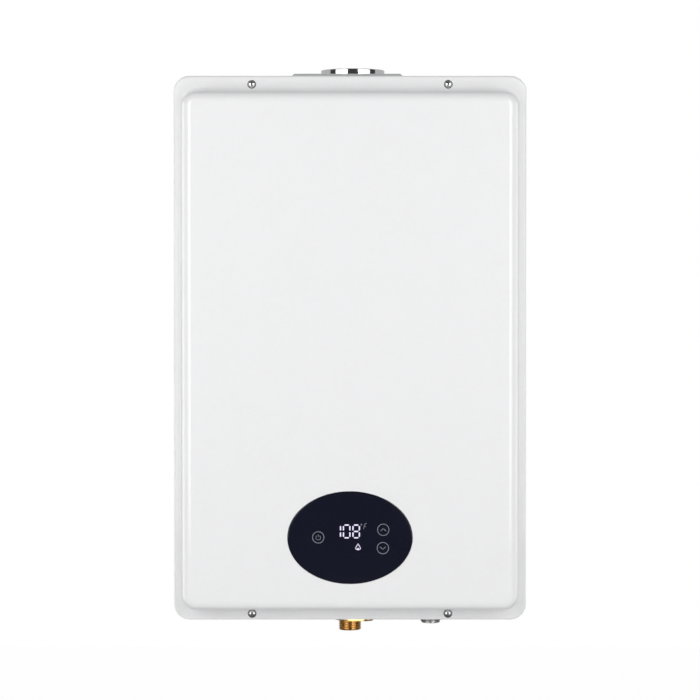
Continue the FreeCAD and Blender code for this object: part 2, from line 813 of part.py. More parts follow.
def exhaust_hood():
    # low over the exchanger, tall behind the scroll: an L in side view
    def side_form(inset):
        low = core_top - (nudge if inset else 0)
        step = core_top + hood_low - inset
        points = [vec(0, chamber_rear - inset, low), vec(0, chamber_rear - inset, hood_top - inset),
                  vec(0, -fan_back + inset, hood_top - inset), vec(0, -fan_back + inset, step),
                  vec(0, chamber_front + inset, step), vec(0, chamber_front + inset, low),
                  vec(0, chamber_rear - inset, low)]
        left = -chamber_half + inset
        form = Part.Face(Part.makePolygon(points)).extrude(vec(chamber_half - inset - left, 0, 0))
        form.translate(vec(left, 0, 0))
        return form

    eye = rod(fan_x, -fan_back + chamber_sheet + nudge, fan_height, fan_eye / 2,
              chamber_sheet + 2 * nudge, (0, -1, 0))
    return side_form(0).cut(side_form(chamber_sheet)).cut(eye)


def water_tube_places():
    for index in range(water_tubes):
        yield chamber_middle + (index - (water_tubes - 1) / 2) * water_tube_pitch


def water_tube(y, reach, grow=0.0):
    # a flat-sided tube's solid, long in X
    wide = water_tube_wide / 2 + grow
    tall = water_tube_tall / 2 + grow
    clip = water_tube_clip
    points = []
    for sy, sz in ((1, -1), (1, 1), (-1, 1), (-1, -1)):
        flat = vec(-reach, y + sy * (wide - clip), core_middle + sz * tall)
        upright = vec(-reach, y + sy * wide, core_middle + sz * (tall - clip))
        points += [flat, upright] if sy * sz < 0 else [upright, flat]
    points.append(points[0])
    return Part.Face(Part.makePolygon(points)).extrude(vec(2 * reach, 0, 0))


def combustion_chamber():
    walls = box_tube(chamber_half, chamber_rear, chamber_front, chamber_bottom, core_top, chamber_sheet)
    cuts = [water_tube(y, chamber_half + nudge) for y in water_tube_places()]
    height = chamber_bottom + electrode_height
    for x in electrode_places() + [flame_probe_place]:
        cuts.append(small_rod(x, chamber_front - nudge, height, electrode_body / 2,
                              chamber_sheet + 2 * nudge, "y"))
    return walls.cut(Part.makeCompound(cuts))


def exchanger_core():
    # copper fins above and below a web that holds the water tubes
    half_w = chamber_half - chamber_sheet - core_gap
    rear = chamber_rear - chamber_sheet - core_gap
    front = chamber_front + chamber_sheet + core_gap
    core = block(-half_w, half_w, front, rear, core_bottom, core_top)
    count = int(2 * half_w / fin_pitch)
    first = -(count - 1) * fin_pitch / 2
    gap = fin_pitch - fin_thickness
    grooves = []
    for index in range(count):
        x = first + index * fin_pitch
        for low, high in ((core_bottom - nudge, core_middle - core_web / 2),
                          (core_middle + core_web / 2, core_top + nudge)):
            grooves.append(block(x - gap / 2, x + gap / 2, front - nudge, rear + nudge, low, high))
    core = core.cut(Part.makeCompound(grooves))
    return core.cut(Part.makeCompound([water_tube(y, half_w + nudge) for y in water_tube_places()]))


def exchanger_tubes():
    return Part.makeCompound([water_tube(y, chamber_half + fit_gap) for y in water_tube_places()])


header_bottom = core_middle - header_height / 2
header_inner = chamber_half + fit_gap


def exchanger_headers():
    # end blocks that join the tubes to each other and to the pipes below
    headers = []
    for side in (-1, 1):
        low_x = min(side * header_inner, side * (header_inner + header_width))
        header = block(low_x, low_x + header_width, chamber_front, chamber_rear, header_bottom,
                       header_bottom + header_height)
        outside = side * (header_inner + header_width)
        outer_edges = [edge for edge in header.Edges
                       if abs(edge.BoundBox.XMin - outside) < slack and edge.BoundBox.XLength < slack]
        headers.append(header.makeChamfer(header_edge, outer_edges))
    return Part.makeCompound(headers)


def electrode_places():
    return [-electrode_spread / 2, electrode_spread / 2]


frame_top = chamber_bottom
frame_bottom = chamber_bottom - burner_drop
bar_top = frame_top - bar_gap
bar_bottom = bar_top - bar_height
mouth_height = bar_bottom + bar_tube / 2


def bar_places():
    return [(index - (bar_count - 1) / 2) * bar_pitch for index in range(bar_count)]


def burner_frame():
    frame = box_tube(chamber_half, chamber_rear, chamber_front, frame_bottom, frame_top, chamber_sheet)
    mouths = [hexagon(x, chamber_front - nudge, mouth_height, mouth_width, chamber_sheet + 2 * nudge, "y")
              for x in bar_places()]
    return frame.cut(Part.makeCompound(mouths))


def burner_bars():
    # each bar: a mixing tube below, a narrow neck, and a slotted flame head
    front = chamber_front + chamber_sheet
    rear = chamber_rear - chamber_sheet - bar_gap
    head = bar_head / 2
    neck = bar_neck / 2
    tube = bar_tube / 2
    outline = ((head, 0), (head, -bar_head_depth), (neck, -bar_neck_drop),
               (neck, bar_neck_foot - bar_height), (tube, bar_tube_top - bar_height),
               (tube, bar_tube_low - bar_height), (bar_keel / 2, -bar_height))
    profile = [vec(x, front, bar_top + z) for x, z in outline]
    profile += [vec(-x, front, bar_top + z) for x, z in outline[::-1]]
    profile.append(profile[0])
    bar = Part.Face(Part.makePolygon(profile)).extrude(vec(0, rear - front, 0))
    for index in range(flame_slots):
        y = front + (index + 1) * (rear - front) / (flame_slots + 1)
        bar = bar.cut(block(-head - nudge, head + nudge, y - flame_slot_width / 2, y + flame_slot_width / 2,
                            bar_top - flame_slot_depth, bar_top + nudge))
    bars = []
    for x in bar_places():
        copy = bar.copy()
        copy.translate(vec(x, 0, 0))
        bars.append(copy)
    return Part.makeCompound(bars)


rail_back = chamber_front - rail_gap
rail_middle = rail_back - rail_depth / 2
rail_bottom = mouth_height - rail_height / 2


def injector_rail():
    half_w = bar_pitch * bar_count / 2
    return block(-half_w, half_w, rail_back - rail_depth, rail_back, rail_bottom, rail_bottom + rail_height)


def injector_nozzles():
    reach = min(nozzle_length, rail_gap + chamber_sheet)
    return Part.makeCompound([hexagon(x, rail_back, mouth_height, nozzle_flats, reach, "y")
                              for x in bar_places()])


def ignition_pin(x):
    height = chamber_bottom + electrode_height
    out = chamber_front - electrode_body_length / 2
    body = small_rod(x, out, height, electrode_body / 2, electrode_body_length, "y")
    pin = small_rod(x, out + electrode_body_length, height, electrode_width / 2, electrode_reach, "y")
    return body.fuse(pin)


def ignition_electrodes():
    return Part.makeCompound([ignition_pin(x) for x in electrode_places()])


def flame_probe():
    return ignition_pin(flame_probe_place)


# ---------- gas ----------
valve_low = floor_top + valve_base
valve_top = valve_low + valve_height
boss_low = -half_height - gas_flange_drop
seat_level = valve_top - plunger_chamber_depth
coil_top = valve_top + coil_height


def two_eared(low, height):
    # round middle with an ear at each end, turned so that the right ear comes forward
    middle = prism(0, 0, low, gas_boss_radius, height, boss_count)
    flank = gas_boss_radius - ear_inset
    ears = []
    for side in (-1, 1):
        reach = side * gas_ear_spread / 2
        ears.append(prism(reach, 0, low, gas_ear_radius, height, round_count))
        sides = [vec(reach, gas_ear_radius, low), vec(0, flank, low), vec(0, -flank, low),
                 vec(reach, -gas_ear_radius, low)]
        ears.append(Part.Face(Part.makePolygon(sides + [sides[0]])).extrude(vec(0, 0, height)))
    plate = tidy(middle.multiFuse(ears))
    for side in (-1, 1):
        plate = plate.cut(small_rod(side * gas_ear_spread / 2, 0, low - nudge,
                                    gas_screw / 2 / rod_share + thread_clearance, height + 2 * nudge))
    plate.rotate(vec(0, 0, 0), vec(0, 0, 1), -gas_ear_turn)
    plate.translate(vec(0, -fitting_depth, 0))
    return plate


def gas_inlet_nipple():
    low = -half_height - gas_end
    flange_low = boss_low - gas_flange
    flange = two_eared(flange_low, gas_flange)
    stub = rod(0, -fitting_depth, low, gas_thread / 2, flange_low - low)
    chamfer_edges = [edge for edge in stub.Edges if edge.BoundBox.ZMax < low + slack]
    stub = stub.makeChamfer(thread_chamfer, chamfer_edges)
    bore = prism(0, -fitting_depth, low - nudge, gas_bore / 2, boss_low - low + 2 * nudge, small_count)
    return flange.fuse(stub).cut(bore)


def gas_inlet_screws():
    screws = []
    turn = math.radians(gas_ear_turn)
    for side in (-1, 1):
        x = side * gas_ear_spread / 2 * math.cos(turn)
        y = -fitting_depth - side * gas_ear_spread / 2 * math.sin(turn)
        screws.append(small_rod(x, y, boss_low - gas_flange, gas_screw / 2, gas_screw_length))
    return Part.makeCompound(screws)


def valve_places():
    return [-coil_spread / 2, coil_spread / 2]


def gas_valve_body():
    body = block(-valve_width / 2, valve_width / 2, -valve_front, -valve_back, valve_low, valve_top)
    upright = [edge for edge in body.Edges if edge.BoundBox.ZLength > valve_height - slack]
    body = body.makeChamfer(valve_corner, upright)
    body = body.fuse(two_eared(boss_low, valve_low - boss_low))
    cuts = [prism(0, -fitting_depth, boss_low - nudge, gas_bore / 2, valve_low - boss_low + 2 * nudge,
                  small_count)]
    for x in valve_places():
        cuts.append(prism(x, -fitting_depth, seat_level, plunger_chamber / 2,
                          plunger_chamber_depth + nudge, round_count))
    for side in (-1, 1):
        turn = math.radians(gas_ear_turn)
        cuts.append(small_rod(side * gas_ear_spread / 2 * math.cos(turn),
                              -fitting_depth - side * gas_ear_spread / 2 * math.sin(turn),
                              boss_low - nudge, gas_screw / 2 / rod_share + thread_clearance,
                              gas_screw_length - gas_flange + 2 * nudge))
    return body.cut(Part.makeCompound(cuts))


def plunger_reach(travel):
    # height of a plunger's top when its valve is shut
    return coil_top - coil_cap - plunger_top_room - travel


def valve_coils():
    coils = []
    for x in valve_places():
        coil = block(x - coil_width / 2, x + coil_width / 2, -fitting_depth - coil_width / 2,
                     -fitting_depth + coil_width / 2, valve_top, coil_top)
        coils.append(coil.cut(rod(x, -fitting_depth, valve_top - nudge,
                                  plunger_width / 2 + plunger_clearance, coil_height - coil_cap)))
    return Part.makeCompound(coils)


def plunger(x, travel):
    low = seat_level + seat_gap
    head = prism(x, -fitting_depth, low, plunger_head / 2, plunger_head_height, round_count)
    stem_low = low + plunger_head_height
    stem = rod(x, -fitting_depth, stem_low, plunger_width / 2, plunger_reach(travel) - stem_low)
    return head.fuse(stem)


def shutoff_plunger():
    return plunger(valve_places()[0], shutoff_travel)


def control_plunger():
    return plunger(valve_places()[1], control_travel)


def plunger_spring(x):
    # a square-wire coil round the stem, between the plunger's head and the coil
    low = seat_level + seat_gap + plunger_head_height + spring_wire / 2
    high = valve_top - spring_wire
    steps = spring_sides * spring_turns
    points = []
    for index in range(steps + 1):
        turn = 2 * math.pi * index / spring_sides
        points.append(vec(x + spring_coil * math.cos(turn), -fitting_depth + spring_coil * math.sin(turn),
                          low + (high - low) * index / steps))
    half = spring_wire / 2
    square = [points[0] + vec(side * half, 0, rise * half)
              for side, rise in ((-1, -1), (1, -1), (1, 1), (-1, 1), (-1, -1))]
    return Part.makePolygon(points).makePipeShell([Part.makePolygon(square)], True, True, 1)


def shutoff_spring():
    return plunger_spring(valve_places()[0])


def control_spring():
    return plunger_spring(valve_places()[1])


def gas_riser():
    tube = rod(0, rail_middle, valve_top, riser_width / 2, rail_bottom - valve_top)
    return tube.cut(small_rod(0, rail_middle, valve_top - nudge, riser_width / 2 - riser_wall,
                              rail_bottom - valve_top + 2 * nudge))


# ---------- water ----------
nipple_high = floor_top + nipple_top
sensor_top = nipple_high + sensor_length
rotor_low = nipple_high + (sensor_length - rotor_length) / 2


def water_nipple(x, end):
    # a stub through the casing's floor: threaded below its lock nut, with a shoulder on the floor
    low = -half_height - end
    nut_low = -casing_half_height - lock_nut_height
    stub = rod(x, -fitting_depth, low, water_thread / 2, nut_low - low)
    chamfer_edges = [edge for edge in stub.Edges if edge.BoundBox.ZMax < low + slack]
    stub = stub.makeChamfer(thread_chamfer, chamfer_edges)
    neck = prism(x, -fitting_depth, nut_low, water_thread / 2, nipple_high - nut_low, round_count)
    shoulder = prism(x, -fitting_depth, floor_top, nipple_shoulder / 2, nipple_shoulder_height, round_count)
    bore = prism(x, -fitting_depth, low - nudge, water_bore / 2, nipple_high - low + 2 * nudge, small_count)
    return stub.multiFuse([neck, shoulder]).cut(bore)


def cold_inlet_nipple():
    return water_nipple(water_x, cold_end)


def hot_outlet_nipple():
    return water_nipple(-water_x, hot_end)


def water_lock_nuts():
    nuts = []
    low = -casing_half_height - lock_nut_height
    for side in (-1, 1):
        nut = hexagon(side * water_x, -fitting_depth, low, lock_nut_flats, lock_nut_height)
        nuts.append(nut.cut(small_rod(side * water_x, -fitting_depth, low - nudge,
                                      water_thread / 2 / rod_share, lock_nut_height + 2 * nudge)))
    return Part.makeCompound(nuts)


def inlet_filter():
    # a cup of fine mesh in the cold inlet
    cup = prism(water_x, -fitting_depth, floor_top, water_bore / 2, filter_length, small_count)
    return cup.cut(prism(water_x, -fitting_depth, floor_top - nudge, water_bore / 2 - filter_wall,
                         filter_length - filter_wall, small_count))


def flow_sensor_body():
    body = prism(water_x, -fitting_depth, nipple_high, sensor_width / 2, sensor_length, wide_count)
    inlet = prism(water_x, -fitting_depth, nipple_high - nudge, water_bore / 2, sensor_length + 2 * nudge,
                  small_count)
    low = rotor_low - fit_gap
    room = prism(water_x, -fitting_depth, low, sensor_bore / 2, rotor_length + 2 * fit_gap, wide_count)
    body = body.cut(inlet).cut(room)
    for level in (low - spider_height, low + rotor_length + 2 * fit_gap):
        bar = block_at(water_x, -fitting_depth, level + spider_height / 2,
                       (water_bore, spider_width, spider_height))
        hole = small_rod(water_x, -fitting_depth, level - nudge, axle_width / 2 / rod_share,
                         spider_height + 2 * nudge)
        body = body.fuse(bar.cut(hole))
    return body


def rotor_axle():
    length = rotor_length + 2 * fit_gap + 2 * spider_height
    return rod(water_x, -fitting_depth, rotor_low - fit_gap - spider_height, axle_width / 2, length)


def flow_rotor():
    # slanted vanes that the water turns
    wheel = prism(0, 0, 0, rotor_hub / 2, rotor_length, small_count)
    corners = [vec(0, -(vane_slant + vane_sheet) / 2, 0), vec(0, -(vane_slant - vane_sheet) / 2, 0),
               vec(0, (vane_slant + vane_sheet) / 2, rotor_length),
               vec(0, (vane_slant - vane_sheet) / 2, rotor_length)]
    section = Part.Face(Part.makePolygon(corners + corners[:1]))
    for index in range(rotor_blades):
        vane = section.extrude(vec(rotor_width / 2, 0, 0))
        vane.rotate(vec(0, 0, 0), vec(0, 0, 1), 360 * index / rotor_blades)
        wheel = wheel.fuse(vane)
    wheel = wheel.cut(rod(0, 0, -nudge, axle_width / 2 + axle_clearance, rotor_length + 2 * nudge))
    wheel.translate(vec(water_x, -fitting_depth, rotor_low))
    return wheel


def hall_sensor():
    x = water_x + math.sqrt((sensor_width / 2) ** 2 - (hall_size[1] / 2) ** 2) + hall_size[0] / 2
    seat = block_at(x, -fitting_depth, rotor_low + rotor_length / 2, hall_size)
    return seat.cut(prism(water_x, -fitting_depth, nipple_high, sensor_width / 2, sensor_length, wide_count))


def upright_pipe(x, low):
    high = header_bottom
    tube = rod(x, -fitting_depth, low, pipe_width / 2, high - low)
    return tube.cut(small_rod(x, -fitting_depth, low - nudge, pipe_width / 2 - pipe_wall,
                              high - low + 2 * nudge))


def cold_pipe():
    return upright_pipe(water_x, sensor_top)


def hot_pipe():
    return upright_pipe(-water_x, nipple_high)


def union_nuts():
    nuts = []
    for x, low in ((water_x, sensor_top), (-water_x, nipple_high)):
        nut = hexagon(x, -fitting_depth, low, union_flats, union_length)
        nuts.append(nut.cut(small_rod(x, -fitting_depth, low - nudge, pipe_width / 2 / rod_share,
                                      union_length + 2 * nudge)))
    return Part.makeCompound(nuts)


def temperature_sensor():
    # clipped to the hot pipe
    x = -water_x - pipe_width / 2 - probe_width / 2
    return small_rod(x, -fitting_depth, nipple_high + 2 * union_length, probe_width / 2 * root_half,
                     probe_length).fuse(block_at(x + probe_width / 4, -fitting_depth,
                                                 nipple_high + 2 * union_length + probe_length / 2,
                                                 (probe_width / 2, probe_width, probe_length / 2)))


def overheat_cutouts():
    # two round switches on the ends of the water headers
    outside = header_inner + header_width
    return Part.makeCompound([small_rod(x, chamber_middle, core_middle, cutout_width / 2, cutout_height, "x")
                              for x in (-outside - cutout_height, outside)])


# ---------- drain valve ----------
drain_low = -casing_half_height - drain_neck
knob_top = drain_low - drain_gap


def drain_valve():
    # branches from the cold side and passes through the casing's floor
    arm_height = floor_top + nipple_top + drain_body / 2
    high = arm_height + drain_body / 2
    body = prism(drain_x, -fitting_depth, drain_low, drain_body / 2, high - drain_low, round_count)
    arm_start = water_x + sensor_width / 2 - drain_arm_wall
    arm = small_rod(arm_start, -fitting_depth, arm_height, drain_stem / 2 + drain_arm_wall,
                    drain_x - arm_start, "x")
    arm = arm.cut(prism(water_x, -fitting_depth, nipple_high, sensor_width / 2, sensor_length, wide_count))
    hole = rod(drain_x, -fitting_depth, drain_low - nudge, drain_stem / 2 + shaft_clearance, drain_grip_depth)
    return body.fuse(arm).cut(hole)


def drain_knob():
    # a gripped disc whose stem turns in the drain valve
    low = knob_top - drain_knob_height
    knob = prism(drain_x, -fitting_depth, low, drain_knob_width / 2, drain_knob_height, 2 * drain_grips)
    grips = []
    for index in range(drain_grips):
        turn = 2 * math.pi * (index + 0.5) / drain_grips
        radius = drain_knob_width / 2
        grips.append(prism(drain_x + radius * math.cos(turn), -fitting_depth + radius * math.sin(turn),
                           low - nudge, drain_grip_cut, drain_knob_height + 2 * nudge, hex_count))
    stem = rod(drain_x, -fitting_depth, knob_top, drain_stem / 2, drain_grip_depth - drain_stem_room)
    return knob.cut(Part.makeCompound(grips)).fuse(stem)


# ---------- controls ----------
box_outside = inner_half_width
box_inside = inner_half_width - box_wide


def control_box():
    low = -box_tall / 2
    front = -box_back - box_deep
    shell = block(box_inside, box_outside, front, -box_back, low, low + box_tall)
    room = block(box_inside + box_wall, box_outside - box_wall, front + box_wall, -box_back - box_wall,
                 low + box_wall, low + box_tall - box_wall)
    lead_window = block(box_inside - nudge, box_inside + box_wall + nudge, front + lead_margin,
                        -box_back - lead_margin, low + box_wall, low + 4 * box_wall)
    return shell.cut(room).cut(lead_window)


def control_board():
    edge = box_wall
    face = box_outside - box_wall - board_stand
    return block(face - board_thickness, face, -box_back - box_deep + edge, -box_back - edge,
                 -box_tall / 2 + edge, box_tall / 2 - edge)


def igniter_unit():
    wide, deep, tall = igniter_size
    case = block(-inner_half_width, -inner_half_width + wide, -box_back - deep, -box_back,
                 igniter_height - tall / 2, igniter_height + tall / 2)
    posts = [small_rod(-inner_half_width + wide, -box_back - (deep + side * igniter_post_spread) / 2,
                       igniter_height, electrode_body / 2, electrode_body, "x") for side in (-1, 1)]
    return case.multiFuse(posts)


switch_x = -inner_half_width + switch_stand


def pressure_switch():
    # a flat round can with a hose nipple, on a foot from the casing's side
    can = prism(switch_x, -switch_back, switch_height, switch_width / 2, switch_length, wide_count, "x")
    nipple = small_rod(switch_x + switch_length, -switch_back, switch_height, hose_bore / 2,
                       2 * hose_width, "x")
    foot = block(-inner_half_width, switch_x, -switch_back - switch_width / 4,
                 -switch_back + switch_width / 4, switch_height - 1, switch_height + 1)
    return can.multiFuse([nipple, foot])


def pressure_hose():
    # from the switch to the scroll's outer wall
    start = switch_x + switch_length
    turn = math.degrees(math.asin((switch_height - fan_height) / scroll_start))
    end = fan_x - scroll_radius(180 - turn) - fit_gap
    hose = small_rod(start, -switch_back, switch_height, hose_width / 2, end - start, "x")
    return hose.cut(small_rod(start - nudge, -switch_back, switch_height, hose_bore / 2,
                              end - start + 2 * nudge, "x"))


def cable_gland():
    # its rubber bush stays closed until a lead is led through it
    low = -casing_half_height - gland_drop
    collar = hexagon(gland_x, -fitting_depth, low, gland_flats, gland_drop)
    neck = small_rod(gland_x, -fitting_depth, -casing_half_height, gland_width / 2 - casing_sheet,
                     casing_sheet + gland_nut_height)
    nut = hexagon(gland_x, -fitting_depth, floor_top, gland_flats, gland_nut_height)
    recess = small_rod(gland_x, -fitting_depth, low - nudge, gland_bore / 2, gland_drop / 2)
    return collar.multiFuse([neck, nut]).cut(recess)


pieces = {
    "rear_casing": rear_casing, "front_cover": front_cover, "cover_gasket": cover_gasket,
    "cover_screws": cover_screws, "panel_lens": panel_lens, "panel_tray": panel_tray,
    "tray_screws": tray_screws, "display_board": display_board, "digit_display": digit_display,
    "flue_plate": flue_plate, "flue_gasket": flue_gasket,
    "flue_collar": flue_collar, "flue_screws": flue_screws, "flue_adapter": flue_adapter,
    "fan_housing": fan_housing, "fan_cover": fan_cover, "fan_impeller": fan_impeller,
    "fan_shaft": fan_shaft, "fan_motor": fan_motor, "exhaust_hood": exhaust_hood,
    "exchanger_core": exchanger_core, "exchanger_tubes": exchanger_tubes,
    "exchanger_headers": exchanger_headers, "combustion_chamber": combustion_chamber,
    "burner_frame": burner_frame, "burner_bars": burner_bars, "injector_rail": injector_rail,
    "injector_nozzles": injector_nozzles, "ignition_electrodes": ignition_electrodes,
    "flame_probe": flame_probe, "gas_inlet_nipple": gas_inlet_nipple,
    "gas_inlet_screws": gas_inlet_screws, "gas_valve_body": gas_valve_body,
    "valve_coils": valve_coils, "shutoff_plunger": shutoff_plunger,
    "control_plunger": control_plunger, "shutoff_spring": shutoff_spring,
    "control_spring": control_spring, "gas_riser": gas_riser,
    "cold_inlet_nipple": cold_inlet_nipple, "hot_outlet_nipple": hot_outlet_nipple,
    "water_lock_nuts": water_lock_nuts, "inlet_filter": inlet_filter,
    "flow_sensor_body": flow_sensor_body, "rotor_axle": rotor_axle, "flow_rotor": flow_rotor,
    "hall_sensor": hall_sensor, "cold_pipe": cold_pipe, "hot_pipe": hot_pipe,
    "union_nuts": union_nuts, "temperature_sensor": temperature_sensor,
    "overheat_cutouts": overheat_cutouts, "drain_valve": drain_valve, "drain_knob": drain_knob,
    "control_box": control_box, "control_board": control_board,
    "igniter_unit": igniter_unit,
    "pressure_switch": pressure_switch, "pressure_hose": pressure_hose,
    "cable_gland": cable_gland,
}

os.makedirs("parts", exist_ok=True)
for name, make in pieces.items():
    shape = make()
    shape.exportStep("parts/" + name + ".step")
    print(name, len(shape.Solids), shape.isValid(), round(shape.Volume))
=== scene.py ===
import json
import math
import bmesh
import bpy
from mathutils import Matrix, Vector

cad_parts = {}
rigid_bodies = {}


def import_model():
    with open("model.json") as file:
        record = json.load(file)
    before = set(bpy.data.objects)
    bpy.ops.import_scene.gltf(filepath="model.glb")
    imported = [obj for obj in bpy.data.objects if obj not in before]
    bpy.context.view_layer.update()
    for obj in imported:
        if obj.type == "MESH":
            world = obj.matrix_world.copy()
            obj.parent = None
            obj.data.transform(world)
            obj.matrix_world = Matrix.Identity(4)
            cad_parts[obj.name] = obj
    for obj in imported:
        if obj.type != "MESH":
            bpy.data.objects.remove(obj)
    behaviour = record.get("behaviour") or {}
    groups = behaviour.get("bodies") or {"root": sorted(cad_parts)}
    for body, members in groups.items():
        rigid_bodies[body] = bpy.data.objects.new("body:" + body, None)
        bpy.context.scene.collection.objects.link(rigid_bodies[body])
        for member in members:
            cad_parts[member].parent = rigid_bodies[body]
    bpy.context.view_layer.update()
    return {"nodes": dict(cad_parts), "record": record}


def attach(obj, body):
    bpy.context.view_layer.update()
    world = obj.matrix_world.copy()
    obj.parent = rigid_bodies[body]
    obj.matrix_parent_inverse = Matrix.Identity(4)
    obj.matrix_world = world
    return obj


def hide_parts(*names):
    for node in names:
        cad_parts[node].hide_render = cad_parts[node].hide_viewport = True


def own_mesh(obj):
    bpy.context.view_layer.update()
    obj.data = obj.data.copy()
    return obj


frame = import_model()
mm = 0.001
closeBy = 0.001 * mm  # points nearer than this count as one
print("frame loaded:", len(frame["nodes"]), "nodes")


def finishPiece(bm, name, body, finish, smoothAngle=30.0):
    # puts the mesh in the scene and lets it ride on its body
    mesh = bpy.data.meshes.new(name)
    bm.to_mesh(mesh)
    bm.free()
    piece = bpy.data.objects.new(name, mesh)
    bpy.context.collection.objects.link(piece)
    mesh.materials.append(finish)
    mesh.shade_smooth()
    mesh.set_sharp_from_angle(angle=math.radians(smoothAngle))
    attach(piece, body)
    return piece


def vertsOf(made):
    return [item for item in made["geom"] if isinstance(item, bmesh.types.BMVert)]


def edgesOf(made):
    return [item for item in made["geom"] if isinstance(item, bmesh.types.BMEdge)]


def turnTo(bm, verts, axis, degrees, centre=(0, 0, 0)):
    bmesh.ops.rotate(bm, verts=verts, cent=centre, matrix=Matrix.Rotation(math.radians(degrees), 3, axis))


def lathe(bm, outline, centre, steps):
    # spins a closed outline of (radius, height) round an upright axis
    verts = [bm.verts.new((centre[0] + radius, centre[1], centre[2] + height)) for radius, height in outline]
    edges = [bm.edges.new((verts[i], verts[(i + 1) % len(verts)])) for i in range(len(verts))]
    bmesh.ops.spin(bm, geom=verts + edges, cent=centre, axis=(0, 0, 1), angle=math.radians(360),
                   steps=steps, use_merge=True)
    bmesh.ops.remove_doubles(bm, verts=bm.verts[:], dist=closeBy)


def link(tree, outSocket, inSocket):
    tree.links.new(outSocket, inSocket)


def makeGroup(name, inputs, outputs):
    group = bpy.data.node_groups.new(name, "ShaderNodeTree")
    for label, kind, value in inputs:
        socket = group.interface.new_socket(name=label, in_out="INPUT", socket_type=kind)
        socket.default_value = value
    for label, kind in outputs:
        group.interface.new_socket(name=label, in_out="OUTPUT", socket_type=kind)
    return group, group.nodes.new("NodeGroupInput"), group.nodes.new("NodeGroupOutput")


def stretchedCoords(group, scaleSocket, stretchSocket=None):
    coords = group.nodes.new("ShaderNodeTexCoord")
    grow = group.nodes.new("ShaderNodeVectorMath")
    grow.operation = "SCALE"
    link(group, coords.outputs["Object"], grow.inputs[0])
    link(group, scaleSocket, grow.inputs["Scale"])
    if stretchSocket is None:
        return grow.outputs[0]
    pull = group.nodes.new("ShaderNodeVectorMath")
    pull.operation = "MULTIPLY"
    link(group, grow.outputs[0], pull.inputs[0])
    link(group, stretchSocket, pull.inputs[1])
    return pull.outputs[0]


wear = dict(cloudDetail=4, speckScale=40, speckDetail=3, low=0.18, high=0.42)


def makeHandledGroup():
    # soft clouds and small specks that shift the colour and the gloss
    group, given, result = makeGroup(
        "handledSurface",
        [("Color", "NodeSocketColor", (0.8, 0.8, 0.8, 1)), ("Worn", "NodeSocketColor", (0.6, 0.6, 0.6, 1)),
         ("Amount", "NodeSocketFloat", 0.3), ("Scale", "NodeSocketFloat", 12.0),
         ("Roughness", "NodeSocketFloat", 0.4), ("Spread", "NodeSocketFloat", 0.1)],
        [("Color", "NodeSocketColor"), ("Roughness", "NodeSocketFloat")])
    place = stretchedCoords(group, given.outputs["Scale"])
    clouds = group.nodes.new("ShaderNodeTexNoise")
    clouds.inputs["Detail"].default_value = wear["cloudDetail"]
    link(group, place, clouds.inputs["Vector"])
    specks = group.nodes.new("ShaderNodeTexNoise")
    specks.inputs["Scale"].default_value = wear["speckScale"]
    specks.inputs["Detail"].default_value = wear["speckDetail"]
    link(group, place, specks.inputs["Vector"])
    blend = group.nodes.new("ShaderNodeMath")
    blend.operation = "MULTIPLY"
    link(group, clouds.outputs["Fac"], blend.inputs[0])
    link(group, specks.outputs["Fac"], blend.inputs[1])
    reach = group.nodes.new("ShaderNodeMapRange")
    reach.inputs["From Min"].default_value = wear["low"]
    reach.inputs["From Max"].default_value = wear["high"]
    link(group, blend.outputs[0], reach.inputs["Value"])
    share = group.nodes.new("ShaderNodeMath")
    share.operation = "MULTIPLY"
    link(group, reach.outputs["Result"], share.inputs[0])
    link(group, given.outputs["Amount"], share.inputs[1])
    mix = group.nodes.new("ShaderNodeMix")
    mix.data_type = "RGBA"
    link(group, share.outputs[0], mix.inputs["Factor"])
    link(group, given.outputs["Color"], mix.inputs["A"])
    link(group, given.outputs["Worn"], mix.inputs["B"])
    link(group, mix.outputs["Result"], result.inputs["Color"])
    gloss = group.nodes.new("ShaderNodeMath")
    gloss.operation = "MULTIPLY_ADD"
    link(group, reach.outputs["Result"], gloss.inputs[0])
    link(group, given.outputs["Spread"], gloss.inputs[1])
    link(group, given.outputs["Roughness"], gloss.inputs[2])
    link(group, gloss.outputs[0], result.inputs["Roughness"])
    return group


def makeGrainGroup():
    # fine texture of a surface: round grain, or brushed lines where it is stretched
    group, given, result = makeGroup(
        "surfaceGrain",
        [("Scale", "NodeSocketFloat", 800.0), ("Stretch", "NodeSocketVector", (1, 1, 1)),
         ("Detail", "NodeSocketFloat", 2.0)],
        [("Height", "NodeSocketFloat")])
    place = stretchedCoords(group, given.outputs["Scale"], given.outputs["Stretch"])
    grain = group.nodes.new("ShaderNodeTexNoise")
    link(group, place, grain.inputs["Vector"])
    grain.inputs["Scale"].default_value = 1
    link(group, given.outputs["Detail"], grain.inputs["Detail"])
    link(group, grain.outputs["Fac"], result.inputs["Height"])
    return group


handledGroup = makeHandledGroup()
grainGroup = makeGrainGroup()


